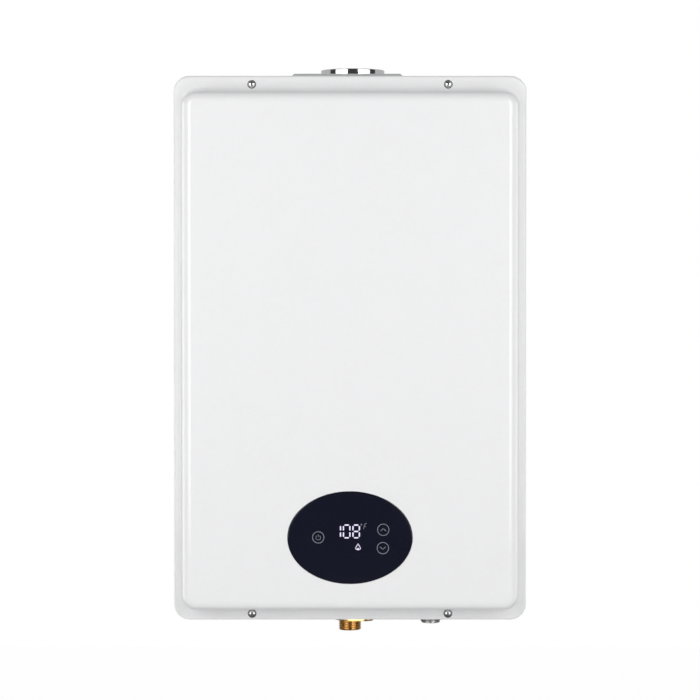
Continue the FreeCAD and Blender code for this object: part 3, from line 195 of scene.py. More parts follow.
def makeFinish(name, base, worn, metallic, roughness, spread=0.08, amount=0.3, scale=12.0, grain=800.0,
               stretch=(1, 1, 1), depth=0.02, coat=0.0, coatRoughness=0.1, glow=0.0, pattern=None):
    finish = bpy.data.materials.new(name)
    finish.use_nodes = True
    tree = finish.node_tree
    shader = tree.nodes["Principled BSDF"]
    shader.inputs["Metallic"].default_value = metallic
    shader.inputs["Coat Weight"].default_value = coat
    shader.inputs["Coat Roughness"].default_value = coatRoughness
    surface = tree.nodes.new("ShaderNodeGroup")
    surface.node_tree = handledGroup
    surface.inputs["Color"].default_value = (*base, 1)
    surface.inputs["Worn"].default_value = (*worn, 1)
    surface.inputs["Amount"].default_value = amount
    surface.inputs["Scale"].default_value = scale
    surface.inputs["Roughness"].default_value = roughness
    surface.inputs["Spread"].default_value = spread
    if pattern:
        link(tree, pattern(tree, base, worn), surface.inputs["Color"])
    link(tree, surface.outputs["Color"], shader.inputs["Base Color"])
    link(tree, surface.outputs["Roughness"], shader.inputs["Roughness"])
    texture = tree.nodes.new("ShaderNodeGroup")
    texture.node_tree = grainGroup
    texture.inputs["Scale"].default_value = grain
    texture.inputs["Stretch"].default_value = stretch
    bump = tree.nodes.new("ShaderNodeBump")
    bump.inputs["Strength"].default_value = 1.0
    bump.inputs["Distance"].default_value = depth * mm
    link(tree, texture.outputs["Height"], bump.inputs["Height"])
    link(tree, bump.outputs["Normal"], shader.inputs["Normal"])
    if glow:
        shader.inputs["Emission Color"].default_value = (*base, 1)
        shader.inputs["Emission Strength"].default_value = glow
    return finish


patterns = dict(flowers=110, tracks=260, trackGap=0.06, trackShade=0.8)


def zincFlowers(tree, base, worn):
    # crystals of hot-dip zinc
    cells = tree.nodes.new("ShaderNodeTexVoronoi")
    cells.inputs["Scale"].default_value = patterns["flowers"]
    coords = tree.nodes.new("ShaderNodeTexCoord")
    link(tree, coords.outputs["Object"], cells.inputs["Vector"])
    tone = tree.nodes.new("ShaderNodeSeparateColor")
    link(tree, cells.outputs["Color"], tone.inputs["Color"])
    mix = tree.nodes.new("ShaderNodeMix")
    mix.data_type = "RGBA"
    mix.inputs["A"].default_value = (*base, 1)
    mix.inputs["B"].default_value = (*worn, 1)
    link(tree, tone.outputs["Red"], mix.inputs["Factor"])
    return mix.outputs["Result"]


def boardTraces(tree, base, worn):
    # paler tracks on a circuit board
    tracks = tree.nodes.new("ShaderNodeTexBrick")
    tracks.inputs["Scale"].default_value = patterns["tracks"]
    tracks.inputs["Mortar Size"].default_value = patterns["trackGap"]
    tracks.inputs["Color1"].default_value = (*base, 1)
    tracks.inputs["Color2"].default_value = (*[patterns["trackShade"] * part for part in base], 1)
    tracks.inputs["Mortar"].default_value = (*worn, 1)
    coords = tree.nodes.new("ShaderNodeTexCoord")
    link(tree, coords.outputs["Object"], tracks.inputs["Vector"])
    return tracks.outputs["Color"]


finishValues = {
    "white_enamel": dict(base=(0.85, 0.852, 0.86), worn=(0.80, 0.80, 0.80), metallic=0, roughness=0.30,
                         spread=0.05, amount=0.25, scale=6, grain=420, depth=0.010, coat=0.35,
                         coatRoughness=0.08),
    "seal_rubber": dict(base=(0.03, 0.03, 0.032), worn=(0.07, 0.07, 0.07), metallic=0, roughness=0.7,
                        grain=2500, depth=0.03),
    "plated_screw": dict(base=(0.70, 0.70, 0.70), worn=(0.50, 0.50, 0.48), metallic=1, roughness=0.16,
                         scale=60, grain=2600, depth=0.004),
    "dark_glass": dict(base=(0.006, 0.007, 0.017), worn=(0.008, 0.009, 0.020), metallic=0, roughness=0.05,
                       spread=0.04, amount=0.5, scale=10, grain=60, depth=0.002, coat=0.5,
                       coatRoughness=0.03),
    "black_plastic": dict(base=(0.03, 0.03, 0.033), worn=(0.05, 0.05, 0.05), metallic=0, roughness=0.5,
                          grain=3000, depth=0.03),
    "board_green": dict(base=(0.015, 0.13, 0.05), worn=(0.06, 0.30, 0.12), metallic=0, roughness=0.35,
                        pattern=boardTraces),
    "display_white": dict(base=(0.75, 0.80, 0.85), worn=(0.65, 0.70, 0.75), metallic=0, roughness=0.3),
    "galvanised": dict(base=(0.62, 0.63, 0.64), worn=(0.46, 0.47, 0.49), metallic=1, roughness=0.32,
                       spread=0.15, grain=900, depth=0.01, pattern=zincFlowers),
    "bright_chrome": dict(base=(0.78, 0.78, 0.79), worn=(0.66, 0.66, 0.66), metallic=1, roughness=0.07,
                          spread=0.05, amount=0.4, scale=25, grain=700, stretch=(1, 1, 8), depth=0.002),
    "dull_nickel": dict(base=(0.62, 0.62, 0.60), worn=(0.42, 0.42, 0.40), metallic=1, roughness=0.30,
                        spread=0.12, amount=0.5, scale=40, grain=900, stretch=(1, 1, 6), depth=0.006),
    "cast_alloy": dict(base=(0.66, 0.66, 0.67), worn=(0.56, 0.56, 0.57), metallic=0.3, roughness=0.42,
                       scale=20, grain=1500, depth=0.03),
    "motor_black": dict(base=(0.03, 0.03, 0.034), worn=(0.07, 0.07, 0.07), metallic=0, roughness=0.35,
                        grain=1200, depth=0.02, coat=0.2),
    "copper": dict(base=(0.80, 0.40, 0.24), worn=(0.45, 0.22, 0.13), metallic=1, roughness=0.28,
                   spread=0.18, amount=0.6, scale=16, grain=900, depth=0.01),
    "stainless": dict(base=(0.58, 0.57, 0.56), worn=(0.48, 0.47, 0.46), metallic=1, roughness=0.26,
                      grain=500, stretch=(1, 1, 12), depth=0.006),
    "brass": dict(base=(0.82, 0.54, 0.21), worn=(0.62, 0.33, 0.09), metallic=1, roughness=0.20,
                  spread=0.12, amount=0.45, scale=30, grain=900, stretch=(1, 1, 6), depth=0.006),
    "white_ceramic": dict(base=(0.82, 0.80, 0.76), worn=(0.70, 0.66, 0.60), metallic=0, roughness=0.22,
                          coat=0.4),
    "clear_plastic": dict(base=(0.55, 0.60, 0.64), worn=(0.48, 0.52, 0.56), metallic=0, roughness=0.2),
    "blue_knob": dict(base=(0.03, 0.09, 0.32), worn=(0.06, 0.13, 0.36), metallic=0, roughness=0.42,
                      grain=2600, depth=0.02),
    "rubber_hose": dict(base=(0.22, 0.22, 0.22), worn=(0.30, 0.30, 0.30), metallic=0, roughness=0.6,
                        grain=2000, depth=0.03),
    "panel_print": dict(base=(0.22, 0.23, 0.27), worn=(0.19, 0.20, 0.24), metallic=0, roughness=0.35,
                        grain=3000, depth=0.002),
    "lit_digits": dict(base=(0.70, 0.66, 0.84), worn=(0.64, 0.61, 0.79), metallic=0, roughness=0.4,
                       grain=3000, depth=0.002, glow=0.45),
}
finishes = {name: makeFinish(name, **values) for name, values in finishValues.items()}
for part in frame["record"]["subparts"]:
    for slot in frame["nodes"][part["node"]].material_slots:
        slot.material = finishes[part["material_slot"]]
print("finishes made:", len(finishes))


# the pressed cover, and the oval opening in it that the glass fills
cover = dict(halfWide=175 * mm, halfTall=270 * mm, corner=16 * mm, back=-104 * mm, rim=-120 * mm,
             front=-155 * mm, fold=2.6 * mm, sideRim=9.8 * mm, endRim=15.8 * mm, drop=1.8 * mm,
             footSide=3.4 * mm, footEnd=6.6 * mm, footDeep=6.5 * mm, crown=10.0 * mm, raiseCorner=14 * mm,
             leastCorner=1 * mm, flatLines=2, flatStep=0.5 * mm, sheet=1.0 * mm, cornerSteps=12,
             bendSteps=8, smooth=40)
panel = dict(x=0.0, z=-184.3 * mm, halfWide=61.2 * mm, halfTall=45.3 * mm, gap=0.3 * mm, front=-155.28 * mm,
             bevel=0.7 * mm, bevelSteps=3, deep=1.6 * mm, steps=128, smooth=40)


def coverLevels():
    # half width, half height, corner radius, depth and middle of each line round the cover
    pan = cover
    levels = [(pan["halfWide"], pan["halfTall"], pan["corner"], pan["back"], 0)]
    steps = pan["bendSteps"]
    for step in range(steps // 2 + 1):
        turn = math.radians(90) * step / (steps // 2)
        inset = pan["fold"] * (1 - math.cos(turn))
        levels.append((pan["halfWide"] - inset, pan["halfTall"] - inset, pan["corner"] - inset,
                       pan["rim"] + pan["fold"] * (1 - math.sin(turn)), 0))
    wallWide = pan["halfWide"] - pan["sideRim"]
    wallTall = pan["halfTall"] - pan["endRim"]
    for step in range(steps + 1):
        turn = math.radians(90) * step / steps
        levels.append((wallWide + pan["footSide"] * (1 - math.sin(turn)),
                       wallTall + pan["footEnd"] * (1 - math.sin(turn)),
                       pan["raiseCorner"] + pan["footSide"] * (1 - math.sin(turn)),
                       pan["rim"] - pan["footDeep"] * (1 - math.cos(turn)), -pan["drop"]))
    for step in range(steps + 1 + pan["flatLines"]):
        turn = math.radians(90) * min(step, steps) / steps
        inset = pan["crown"] * (1 - math.cos(turn)) + max(0, step - steps) * pan["flatStep"]
        corner = max(pan["raiseCorner"] - inset, pan["leastCorner"])
        levels.append((wallWide - inset, wallTall - inset, corner,
                       pan["front"] + pan["crown"] * (1 - math.sin(turn)), -pan["drop"]))
    return levels


def moveRing(verts, old, new):
    # slides the four corners of a rounded outline to a new size, depth and middle
    oldWide, oldTall, oldCorner, _, oldMiddle = old
    wide, tall, corner, depth, middle = new
    for vert in verts:
        height = vert.co.z - oldMiddle
        sideX = math.copysign(1, vert.co.x)
        sideZ = math.copysign(1, height)
        arcX = (vert.co.x - sideX * (oldWide - oldCorner)) / oldCorner
        arcZ = (height - sideZ * (oldTall - oldCorner)) / oldCorner
        vert.co = (sideX * (wide - corner) + arcX * corner, depth,
                   sideZ * (tall - corner) + arcZ * corner + middle)


def ovalRing(bm, halfWide, halfTall, y, steps, fill=False):
    made = bmesh.ops.create_circle(bm, segments=steps, radius=1, cap_ends=fill)
    bmesh.ops.scale(bm, verts=made["verts"], vec=(halfWide, halfTall, 1))
    turnTo(bm, made["verts"], "X", 90)
    bmesh.ops.translate(bm, verts=made["verts"], vec=(panel["x"], y, panel["z"]))
    return made["verts"]


def makeCover():
    # one rounded line after another from the wall side to the raised front, which has the oval opening
    bm = bmesh.new()
    levels = coverLevels()
    made = bmesh.ops.create_grid(bm, x_segments=1, y_segments=1, size=1)
    bmesh.ops.scale(bm, verts=made["verts"], vec=(cover["halfWide"], cover["halfTall"], 1))
    turnTo(bm, made["verts"], "X", 90)
    bmesh.ops.bevel(bm, geom=bm.verts[:], offset=cover["corner"], offset_type="OFFSET", affect="VERTICES",
                    segments=cover["cornerSteps"], profile=0.5, material=-1)
    bmesh.ops.delete(bm, geom=bm.faces[:], context="FACES_ONLY")
    bmesh.ops.translate(bm, verts=bm.verts[:], vec=(0, cover["back"], 0))
    ring = bm.edges[:]
    for old, new in zip(levels, levels[1:]):
        made = bmesh.ops.extrude_edge_only(bm, edges=ring)
        moveRing(vertsOf(made), old, new)
        ring = edgesOf(made)
    opening = ovalRing(bm, panel["halfWide"] + panel["gap"], panel["halfTall"] + panel["gap"], cover["front"],
                       panel["steps"])
    ovalEdges = list({edge for vert in opening for edge in vert.link_edges})
    bmesh.ops.triangle_fill(bm, edges=ring + ovalEdges, use_beauty=True, use_dissolve=False,
                            normal=(0, -1, 0))
    bmesh.ops.recalc_face_normals(bm, faces=bm.faces[:])
    front = min(bm.faces, key=lambda face: face.calc_center_median().y)
    if front.normal.y > 0:
        bmesh.ops.reverse_faces(bm, faces=bm.faces[:])
    bmesh.ops.solidify(bm, geom=bm.faces[:], thickness=cover["sheet"])
    piece = finishPiece(bm, "coverShell", "heater", finishes["white_enamel"], cover["smooth"])
    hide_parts("front_cover")


makeCover()
print("cover made")


# a screw head's outline is in shares of its radius and height: a flat flange, then the dome
screw = dict(spread=97.3 * mm, rise=262.5 * mm, drop=1.1 * mm, seat=-120 * mm, radius=4.3 * mm,
             height=2.35 * mm, crossReach=2.05 * mm, crossHalf=0.58 * mm, crossDeep=1.6 * mm,
             crossTaper=0.45, pole=0.0001 * mm, steps=40, smooth=35, turns=(12, -20, 35, 5),
             outline=((1, 0), (1, 0.20), (0.97, 0.25), (0.78, 0.27), (0.75, 0.46), (0.70, 0.60),
                      (0.58, 0.76), (0.44, 0.89), (0.25, 0.97)))


def makeScrewHead(x, z, turn, index):
    # a pan head with a cross recess, its axis along the depth
    bm = bmesh.new()
    radius, height = screw["radius"], screw["height"]
    bend = [(wide * radius, tall * height) for wide, tall in screw["outline"]]
    lathe(bm, [(screw["pole"], 0)] + bend + [(screw["pole"], height)], (0, 0, 0), screw["steps"])
    bmesh.ops.recalc_face_normals(bm, faces=bm.faces[:])
    head = bpy.data.meshes.new("headMesh")
    bm.to_mesh(head)
    bm.free()
    blank = bpy.data.objects.new("headBlank", head)
    bpy.context.collection.objects.link(blank)
    bm = bmesh.new()
    for angle in (0, 90):
        made = bmesh.ops.create_cube(bm, size=1)
        bmesh.ops.scale(bm, verts=made["verts"], vec=(2 * screw["crossReach"], 2 * screw["crossHalf"],
                                                      2 * screw["crossDeep"]))
        for vert in made["verts"]:
            if vert.co.z < 0:
                vert.co.x *= screw["crossTaper"]
        turnTo(bm, made["verts"], "Z", angle)
        bmesh.ops.translate(bm, verts=made["verts"], vec=(0, 0, height))
    cross = bpy.data.meshes.new("crossMesh")
    bm.to_mesh(cross)
    bm.free()
    cutter = bpy.data.objects.new("crossCutter", cross)
    bpy.context.collection.objects.link(cutter)
    cut = blank.modifiers.new("cross", "BOOLEAN")
    cut.operation = "DIFFERENCE"
    cut.solver = "EXACT"
    cut.use_self = True
    cut.object = cutter
    shaped = bpy.data.meshes.new_from_object(blank.evaluated_get(bpy.context.evaluated_depsgraph_get()))
    bpy.data.objects.remove(blank)
    bpy.data.objects.remove(cutter)
    bm = bmesh.new()
    bm.from_mesh(shaped)
    turnTo(bm, bm.verts[:], "Z", turn)
    turnTo(bm, bm.verts[:], "X", 90)
    bmesh.ops.translate(bm, verts=bm.verts[:], vec=(x, screw["seat"], z))
    piece = finishPiece(bm, "coverScrew%d" % index, "heater", finishes["plated_screw"], screw["smooth"])
    return piece


for index, (sideX, sideZ) in enumerate(((-1, 1), (1, 1), (-1, -1), (1, -1))):
    makeScrewHead(sideX * screw["spread"], sideZ * screw["rise"] - screw["drop"],
                               screw["turns"][index], index + 1)
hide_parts("cover_screws")
print("cover screws made")


def makeLens():
    bm = bmesh.new()
    front = ovalRing(bm, panel["halfWide"], panel["halfTall"], panel["front"], panel["steps"], True)
    face = front[0].link_faces[0]
    made = bmesh.ops.extrude_face_region(bm, geom=[face])
    bmesh.ops.translate(bm, verts=vertsOf(made), vec=(0, panel["deep"], 0))
    rim = [edge for edge in bm.edges
           if all(abs(vert.co.y - panel["front"]) < closeBy for vert in edge.verts)]
    bmesh.ops.bevel(bm, geom=rim, offset=panel["bevel"], offset_type="OFFSET", affect="EDGES",
                    segments=panel["bevelSteps"], profile=0.5, material=-1)
    bmesh.ops.recalc_face_normals(bm, faces=bm.faces[:])
    piece = finishPiece(bm, "panelGlass", "heater", finishes["dark_glass"], panel["smooth"])
    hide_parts("panel_lens")


# what is printed or lit on the glass, measured from the middle of the oval
marks = dict(front=-155.34 * mm, deep=0.05 * mm)
keys = dict(places=((-31.1 * mm, 0.35 * mm), (32.6 * mm, 7.8 * mm), (32.2 * mm, -10.2 * mm)),
            radius=5.6 * mm, line=0.72 * mm, steps=56, sign=0.52 * mm)
powerSign = dict(radius=2.3 * mm, drop=0.2 * mm, start=125, sweep=290, steps=28, bar=2.6 * mm, barUp=1.5 * mm)
arrowSign = dict(apart=1.35 * mm, bar=4.0 * mm, weight=1.3, lean=42)
unit = dict(line=0.62 * mm, ringX=11.2 * mm, ringZ=12.9 * mm, radius=0.5 * mm, steps=20,
            bars=((13.8 * mm, 10.9 * mm, 5.4 * mm, 78), (15.3 * mm, 13.8 * mm, 2.2 * mm, 14),
                  (14.8 * mm, 11.1 * mm, 1.8 * mm, 0)))
digits = dict(line=1.3 * mm, tall=12.5 * mm, wide=6.25 * mm, up=6.2 * mm, gap=1.3, taper=0.5,
              places=(-12.4 * mm, -3.25 * mm, 6.05 * mm),
              lit=((1, 2), (0, 1, 2, 3, 4, 5), (0, 1, 2, 3, 4, 5, 6)))
flame = dict(x=7.9 * mm, z=-8.9 * mm, line=0.66 * mm, foot=-2.9 * mm, coreDrop=2.1 * mm,
             coreRadius=0.5 * mm, coreLine=0.9 * mm, coreSteps=16,
             half=((0, 3.2), (-0.9, 1.5), (-1.7, 0.1), (-2.4, -1.3), (-2.3, -2.0), (-1.6, -2.5),
                   (-0.8, -2.8)))


def barMark(bm, x, z, length, width, degrees, taper=0.0):
    # a flat bar, its ends pointed by the taper
    made = bmesh.ops.create_grid(bm, x_segments=1, y_segments=1, size=0.5)
    bmesh.ops.scale(bm, verts=made["verts"], vec=(length - taper, width, 1))
    verts = made["verts"]
    if taper:
        for side in (-1, 1):
            tip = bm.verts.new((side * length / 2, 0, 0))
            ends = [vert for vert in made["verts"] if vert.co.x * side > 0]
            bm.faces.new((ends[0], ends[1], tip))
            verts = verts + [tip]
    turnTo(bm, verts, "Z", degrees)
    turnTo(bm, verts, "X", 90)
    bmesh.ops.translate(bm, verts=verts, vec=(x, 0, z))


def arcMark(bm, x, z, radius, width, start, sweep, steps):
    # a ribbon bent round a middle, and a full ring at 360 degrees
    inner = bm.verts.new((x + radius - width / 2, 0, z))
    outer = bm.verts.new((x + radius + width / 2, 0, z))
    edge = bm.edges.new((inner, outer))
    turnTo(bm, [inner, outer], "Y", -start, (x, 0, z))
    bmesh.ops.spin(bm, geom=[inner, outer, edge], cent=(x, 0, z), axis=(0, -1, 0), angle=math.radians(sweep),
                   steps=steps, use_merge=sweep == 360)


def strokeMark(bm, x, z, points, width):
    # a closed ribbon of even width along the points
    count = len(points)
    pairs = []
    for index, point in enumerate(points):
        along = Vector(points[(index + 1) % count]) - Vector(points[index - 1])
        side = Vector((-along.y, along.x)).normalized() * width / 2
        pairs.append([bm.verts.new((x + point[0] + way * side.x, 0, z + point[1] + way * side.y))
                      for way in (-1, 1)])
    for index in range(count):
        ahead = pairs[(index + 1) % count]
        bm.faces.new((pairs[index][0], pairs[index][1], ahead[1], ahead[0]))


def flamePoints():
    # the left side from the tip down, the foot, and the left side mirrored
    points = [(x * mm, z * mm) for x, z in flame["half"]]
    return points + [(0, flame["foot"])] + [(-x, z) for x, z in points[:0:-1]]


def digitMark(bm, x, z, lit):
    # seven bars, listed from the top round to the middle
    wide, line = digits["wide"], digits["line"]
    right, top = wide / 2, digits["tall"] / 2
    places = ((0, top, 0), (right, top / 2, 90), (right, -top / 2, 90), (0, -top, 0),
              (-right, -top / 2, 90), (-right, top / 2, 90), (0, 0, 0))
    for index in lit:
        besideX, aboveZ, turn = places[index]
        length = (wide if turn == 0 else top) - digits["gap"] * line
        barMark(bm, x + besideX, z + aboveZ, length, line, turn, digits["taper"] * line)


def finishMarks(bm, name, finish):
    bmesh.ops.recalc_face_normals(bm, faces=bm.faces[:])
    for face in bm.faces:
        if face.normal.y > 0:
            face.normal_flip()
    bmesh.ops.translate(bm, verts=bm.verts[:], vec=(panel["x"], marks["front"], panel["z"]))
    piece = finishPiece(bm, name, "heater", finishes[finish])
    wall = piece.modifiers.new("print", "SOLIDIFY")
    wall.thickness = marks["deep"]
    wall.offset = -1


def makeKeyMarks():
    bm = bmesh.new()
    for x, z in keys["places"]:
        arcMark(bm, x, z, keys["radius"], keys["line"], 0, 360, keys["steps"])
    x, z = keys["places"][0]
    arcMark(bm, x, z - powerSign["drop"], powerSign["radius"], keys["sign"], powerSign["start"],
            powerSign["sweep"], powerSign["steps"])
    barMark(bm, x, z + powerSign["barUp"], powerSign["bar"], keys["sign"], 90)
    for (x, z), way in zip(keys["places"][1:], (1, -1)):
        for side in (-1, 1):
            barMark(bm, x + side * arrowSign["apart"], z, arrowSign["bar"],
                    keys["sign"] * arrowSign["weight"], -side * way * arrowSign["lean"])
    arcMark(bm, unit["ringX"], unit["ringZ"], unit["radius"], unit["line"], 0, 360, unit["steps"])
    for x, z, length, turn in unit["bars"]:
        barMark(bm, x, z, length, unit["line"], turn)
    finishMarks(bm, "keyMarks", "panel_print")


def makeDigitMarks():
    bm = bmesh.new()
    for x, lit in zip(digits["places"], digits["lit"]):
        digitMark(bm, x, digits["up"], lit)
    strokeMark(bm, flame["x"], flame["z"], flamePoints(), flame["line"])
    arcMark(bm, flame["x"], flame["z"] - flame["coreDrop"], flame["coreRadius"], flame["coreLine"], 0, 360,
            flame["coreSteps"])
    finishMarks(bm, "digitMarks", "lit_digits")


makeLens()
makeKeyMarks()
makeDigitMarks()
print("panel made")


collar = dict(x=2.8 * mm, y=-62 * mm, foot=257 * mm, top=279.2 * mm, outer=32 * mm, inner=30.4 * mm,
              lipSteps=8, steps=96, smooth=40)


def makeCollar():
    bm = bmesh.new()
    lip = (collar["outer"] - collar["inner"]) / 2
    middle = (collar["outer"] + collar["inner"]) / 2
    outline = [(collar["outer"], collar["foot"]), (collar["inner"], collar["foot"])]
    for step in range(collar["lipSteps"] + 1):
        turn = math.radians(180) * step / collar["lipSteps"]
        outline.append((middle - lip * math.cos(turn), collar["top"] - lip + lip * math.sin(turn)))
    lathe(bm, outline, (collar["x"], collar["y"], 0), collar["steps"])
    bmesh.ops.recalc_face_normals(bm, faces=bm.faces[:])
    piece = finishPiece(bm, "collarTube", "heater", finishes["bright_chrome"], collar["smooth"])
    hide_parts("flue_collar")


makeCollar()
print("collar made")


# crest, half and root are shares of the pitch, spare is the turns that the trim takes off
thread = dict(pitch=1.814 * mm, depth=1.1 * mm, crest=0.12, half=0.5, root=0.14, spare=2, early=1.5,
              steps=48, merge=0.005 * mm, trim=0.0001 * mm, overlap=0.2 * mm)
gasFitting = dict(x=0.0, y=-48 * mm, radius=11.45 * mm, bore=7 * mm, end=-289.7 * mm, flangeLow=-280.2 * mm,
                  flangeTop=-275.2 * mm, boss=11.9 * mm, ear=7.2 * mm, earLow=-279.3 * mm, spread=19 * mm,
                  turn=-30, edge=0.5 * mm, edgeSteps=2, flatAngle=1, chamfer=0.45 * mm, steps=48)
waterFitting = dict(x=82.3 * mm, y=-48 * mm, radius=10.4775 * mm, bore=7 * mm, coldEnd=-282.6 * mm,
                    hotEnd=-278.5 * mm, floorLow=-268.6 * mm, floorTop=-267.6 * mm, chamfer=1.7 * mm,
                    shoulder=13.5 * mm, shoulderTop=-263.6 * mm, top=-249.6 * mm, steps=64)
lockNut = dict(low=-271.6 * mm, flats=26 * mm, gap=0.05 * mm, cuts=7, slope=0.6, smooth=25)


def addThread(bm, x, y, low, high, radius, bore, chamfer):
    # a zigzag of one pitch, spun as a helix, trimmed at both ends and closed with its bore
    pitch = thread["pitch"]
    half = thread["half"]
    root = radius - thread["depth"]
    profile = ((radius, 0), (radius, thread["crest"]), (root, half), (root, half + thread["root"]),
               (radius, 1))
    new = bmesh.new()
    start = low - thread["early"] * pitch
    verts = [new.verts.new((reach, 0, start + share * pitch)) for reach, share in profile]
    edges = [new.edges.new(pair) for pair in zip(verts, verts[1:])]
    turns = math.ceil((high - low) / pitch) + thread["spare"]
    bmesh.ops.spin(new, geom=verts + edges, cent=(0, 0, 0), axis=(0, 0, 1), angle=2 * math.pi * turns,
                   steps=thread["steps"] * turns, dvec=(0, 0, pitch / thread["steps"]), use_merge=False)
    bmesh.ops.remove_doubles(new, verts=new.verts[:], dist=thread["merge"])
    for level, way in ((low, -1), (high, 1)):
        bmesh.ops.bisect_plane(new, geom=new.verts[:] + new.edges[:] + new.faces[:], dist=thread["trim"],
                               plane_co=(0, 0, level), plane_no=(0, 0, way), clear_outer=True)
    for vert in new.verts:
        reach = math.hypot(vert.co.x, vert.co.y)
        limit = radius - max(0, chamfer - (vert.co.z - low))
        if reach > limit:
            vert.co.x *= limit / reach
            vert.co.y *= limit / reach
    loops = []
    for level in (low, high):
        outer = [edge for edge in new.edges if edge.is_boundary
                 and all(abs(vert.co.z - level) < closeBy for vert in edge.verts)]
        made = bmesh.ops.create_circle(new, segments=thread["steps"], radius=bore, cap_ends=False)
        bmesh.ops.translate(new, verts=made["verts"], vec=(0, 0, level))
        inner = list({edge for vert in made["verts"] for edge in vert.link_edges})
        bmesh.ops.triangle_fill(new, edges=outer + inner, use_beauty=True, normal=(0, 0, 1))
        loops += inner
    bmesh.ops.bridge_loops(new, edges=loops)
    bmesh.ops.recalc_face_normals(new, faces=new.faces[:])
    bmesh.ops.translate(new, verts=new.verts[:], vec=(x, y, 0))
    shape = bpy.data.meshes.new("threadMesh")
    new.to_mesh(shape)
    new.free()
    bm.from_mesh(shape)
    bpy.data.meshes.remove(shape)


def makeWaterFitting(x, end, name, node):
    fit = waterFitting
    low = lockNut["low"]
    bm = bmesh.new()
    outline = [(fit["bore"], low), (fit["radius"], low), (fit["radius"], fit["floorTop"]),
               (fit["shoulder"], fit["floorTop"]), (fit["shoulder"], fit["shoulderTop"]),
               (fit["radius"], fit["shoulderTop"]), (fit["radius"], fit["top"]), (fit["bore"], fit["top"])]
    lathe(bm, outline, (x, fit["y"], 0), fit["steps"])
    bmesh.ops.recalc_face_normals(bm, faces=bm.faces[:])
    addThread(bm, x, fit["y"], end, low + thread["overlap"], fit["radius"], fit["bore"], fit["chamfer"])
    piece = finishPiece(bm, name, "heater", finishes["dull_nickel"])
    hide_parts(node)


def addHexNut(bm, x, y, low, high, flats, bore):
    # six flats with their corners turned off below
    corner = flats / math.sqrt(3)
    outer = bmesh.ops.create_circle(bm, segments=6, radius=corner, cap_ends=False)["verts"]
    inner = bmesh.ops.create_circle(bm, segments=6, radius=bore, cap_ends=False)["verts"]
    sides = list({edge for vert in outer + inner for edge in vert.link_edges})
    bmesh.ops.subdivide_edges(bm, edges=sides, cuts=lockNut["cuts"])
    ring = bm.verts[:]
    edges = bm.edges[:]
    for vert in ring:
        reach = vert.co.length
        if reach < (bore + flats / 2) / 2:
            vert.co *= bore / reach
    made = bmesh.ops.bridge_loops(bm, edges=edges)
    top = bmesh.ops.extrude_face_region(bm, geom=made["faces"])
    bmesh.ops.translate(bm, verts=vertsOf(top), vec=(0, 0, high - low))
    for vert in ring:
        reach = vert.co.length
        if reach > flats / 2:
            vert.co.z += (reach - flats / 2) * lockNut["slope"]
    bmesh.ops.recalc_face_normals(bm, faces=bm.faces[:])
    bmesh.ops.translate(bm, verts=bm.verts[:], vec=(x, y, low))


def makeLockNuts():
    fit = waterFitting
    for side, name in ((1, "coldLockNut"), (-1, "hotLockNut")):
        bm = bmesh.new()
        addHexNut(bm, side * fit["x"], fit["y"], lockNut["low"], fit["floorLow"], lockNut["flats"],
                  fit["radius"] + lockNut["gap"])
        piece = finishPiece(bm, name, "heater", finishes["bright_chrome"], lockNut["smooth"])
    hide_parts("water_lock_nuts")


def makeGasFitting():
    # a boss with two ears under one skin, and the thread below it
    fit = gasFitting
    bm = bmesh.new()
    for x, radius, low in ((0, fit["boss"], fit["flangeLow"]), (-fit["spread"], fit["ear"], fit["earLow"]),
                           (fit["spread"], fit["ear"], fit["earLow"])):
        for level in (low, fit["flangeTop"]):
            made = bmesh.ops.create_circle(bm, segments=fit["steps"], radius=radius, cap_ends=False)
            bmesh.ops.translate(bm, verts=made["verts"], vec=(x, 0, level))
    bmesh.ops.delete(bm, geom=bm.edges[:], context="EDGES_FACES")
    bmesh.ops.convex_hull(bm, input=bm.verts[:])
    bmesh.ops.delete(bm, geom=[vert for vert in bm.verts if not vert.link_faces], context="VERTS")
    bmesh.ops.dissolve_limit(bm, angle_limit=math.radians(fit["flatAngle"]), verts=bm.verts[:],
                             edges=bm.edges[:])
    rims = [edge for edge in bm.edges if abs(edge.verts[0].co.z - edge.verts[1].co.z) < closeBy]
    bmesh.ops.bevel(bm, geom=rims, offset=fit["edge"], offset_type="OFFSET", affect="EDGES",
                    segments=fit["edgeSteps"], profile=0.5, material=-1)
    turnTo(bm, bm.verts[:], "Z", fit["turn"])
    bmesh.ops.translate(bm, verts=bm.verts[:], vec=(fit["x"], fit["y"], 0))
    bmesh.ops.recalc_face_normals(bm, faces=bm.faces[:])
    addThread(bm, fit["x"], fit["y"], fit["end"], fit["flangeLow"] + thread["overlap"], fit["radius"],
              fit["bore"], fit["chamfer"])
    piece = finishPiece(bm, "gasFitting", "heater", finishes["brass"])
    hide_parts("gas_inlet_nipple")


makeGasFitting()
makeWaterFitting(waterFitting["x"], waterFitting["coldEnd"], "coldFitting", "cold_inlet_nipple")
makeWaterFitting(-waterFitting["x"], waterFitting["hotEnd"], "hotFitting", "hot_outlet_nipple")
makeLockNuts()
print("connections made")


# each use: the solid that gives the room, the joint that presses it and how far that goes
spring = dict(wire=1.0 * mm, wireSteps=10, turns=4, steps=28, fixed=-226.6 * mm, smooth=40,
              uses=(("shutoff_spring", "shutoff_lift", 3.0 * mm),
                    ("control_spring", "control_lift", 2.5 * mm)))


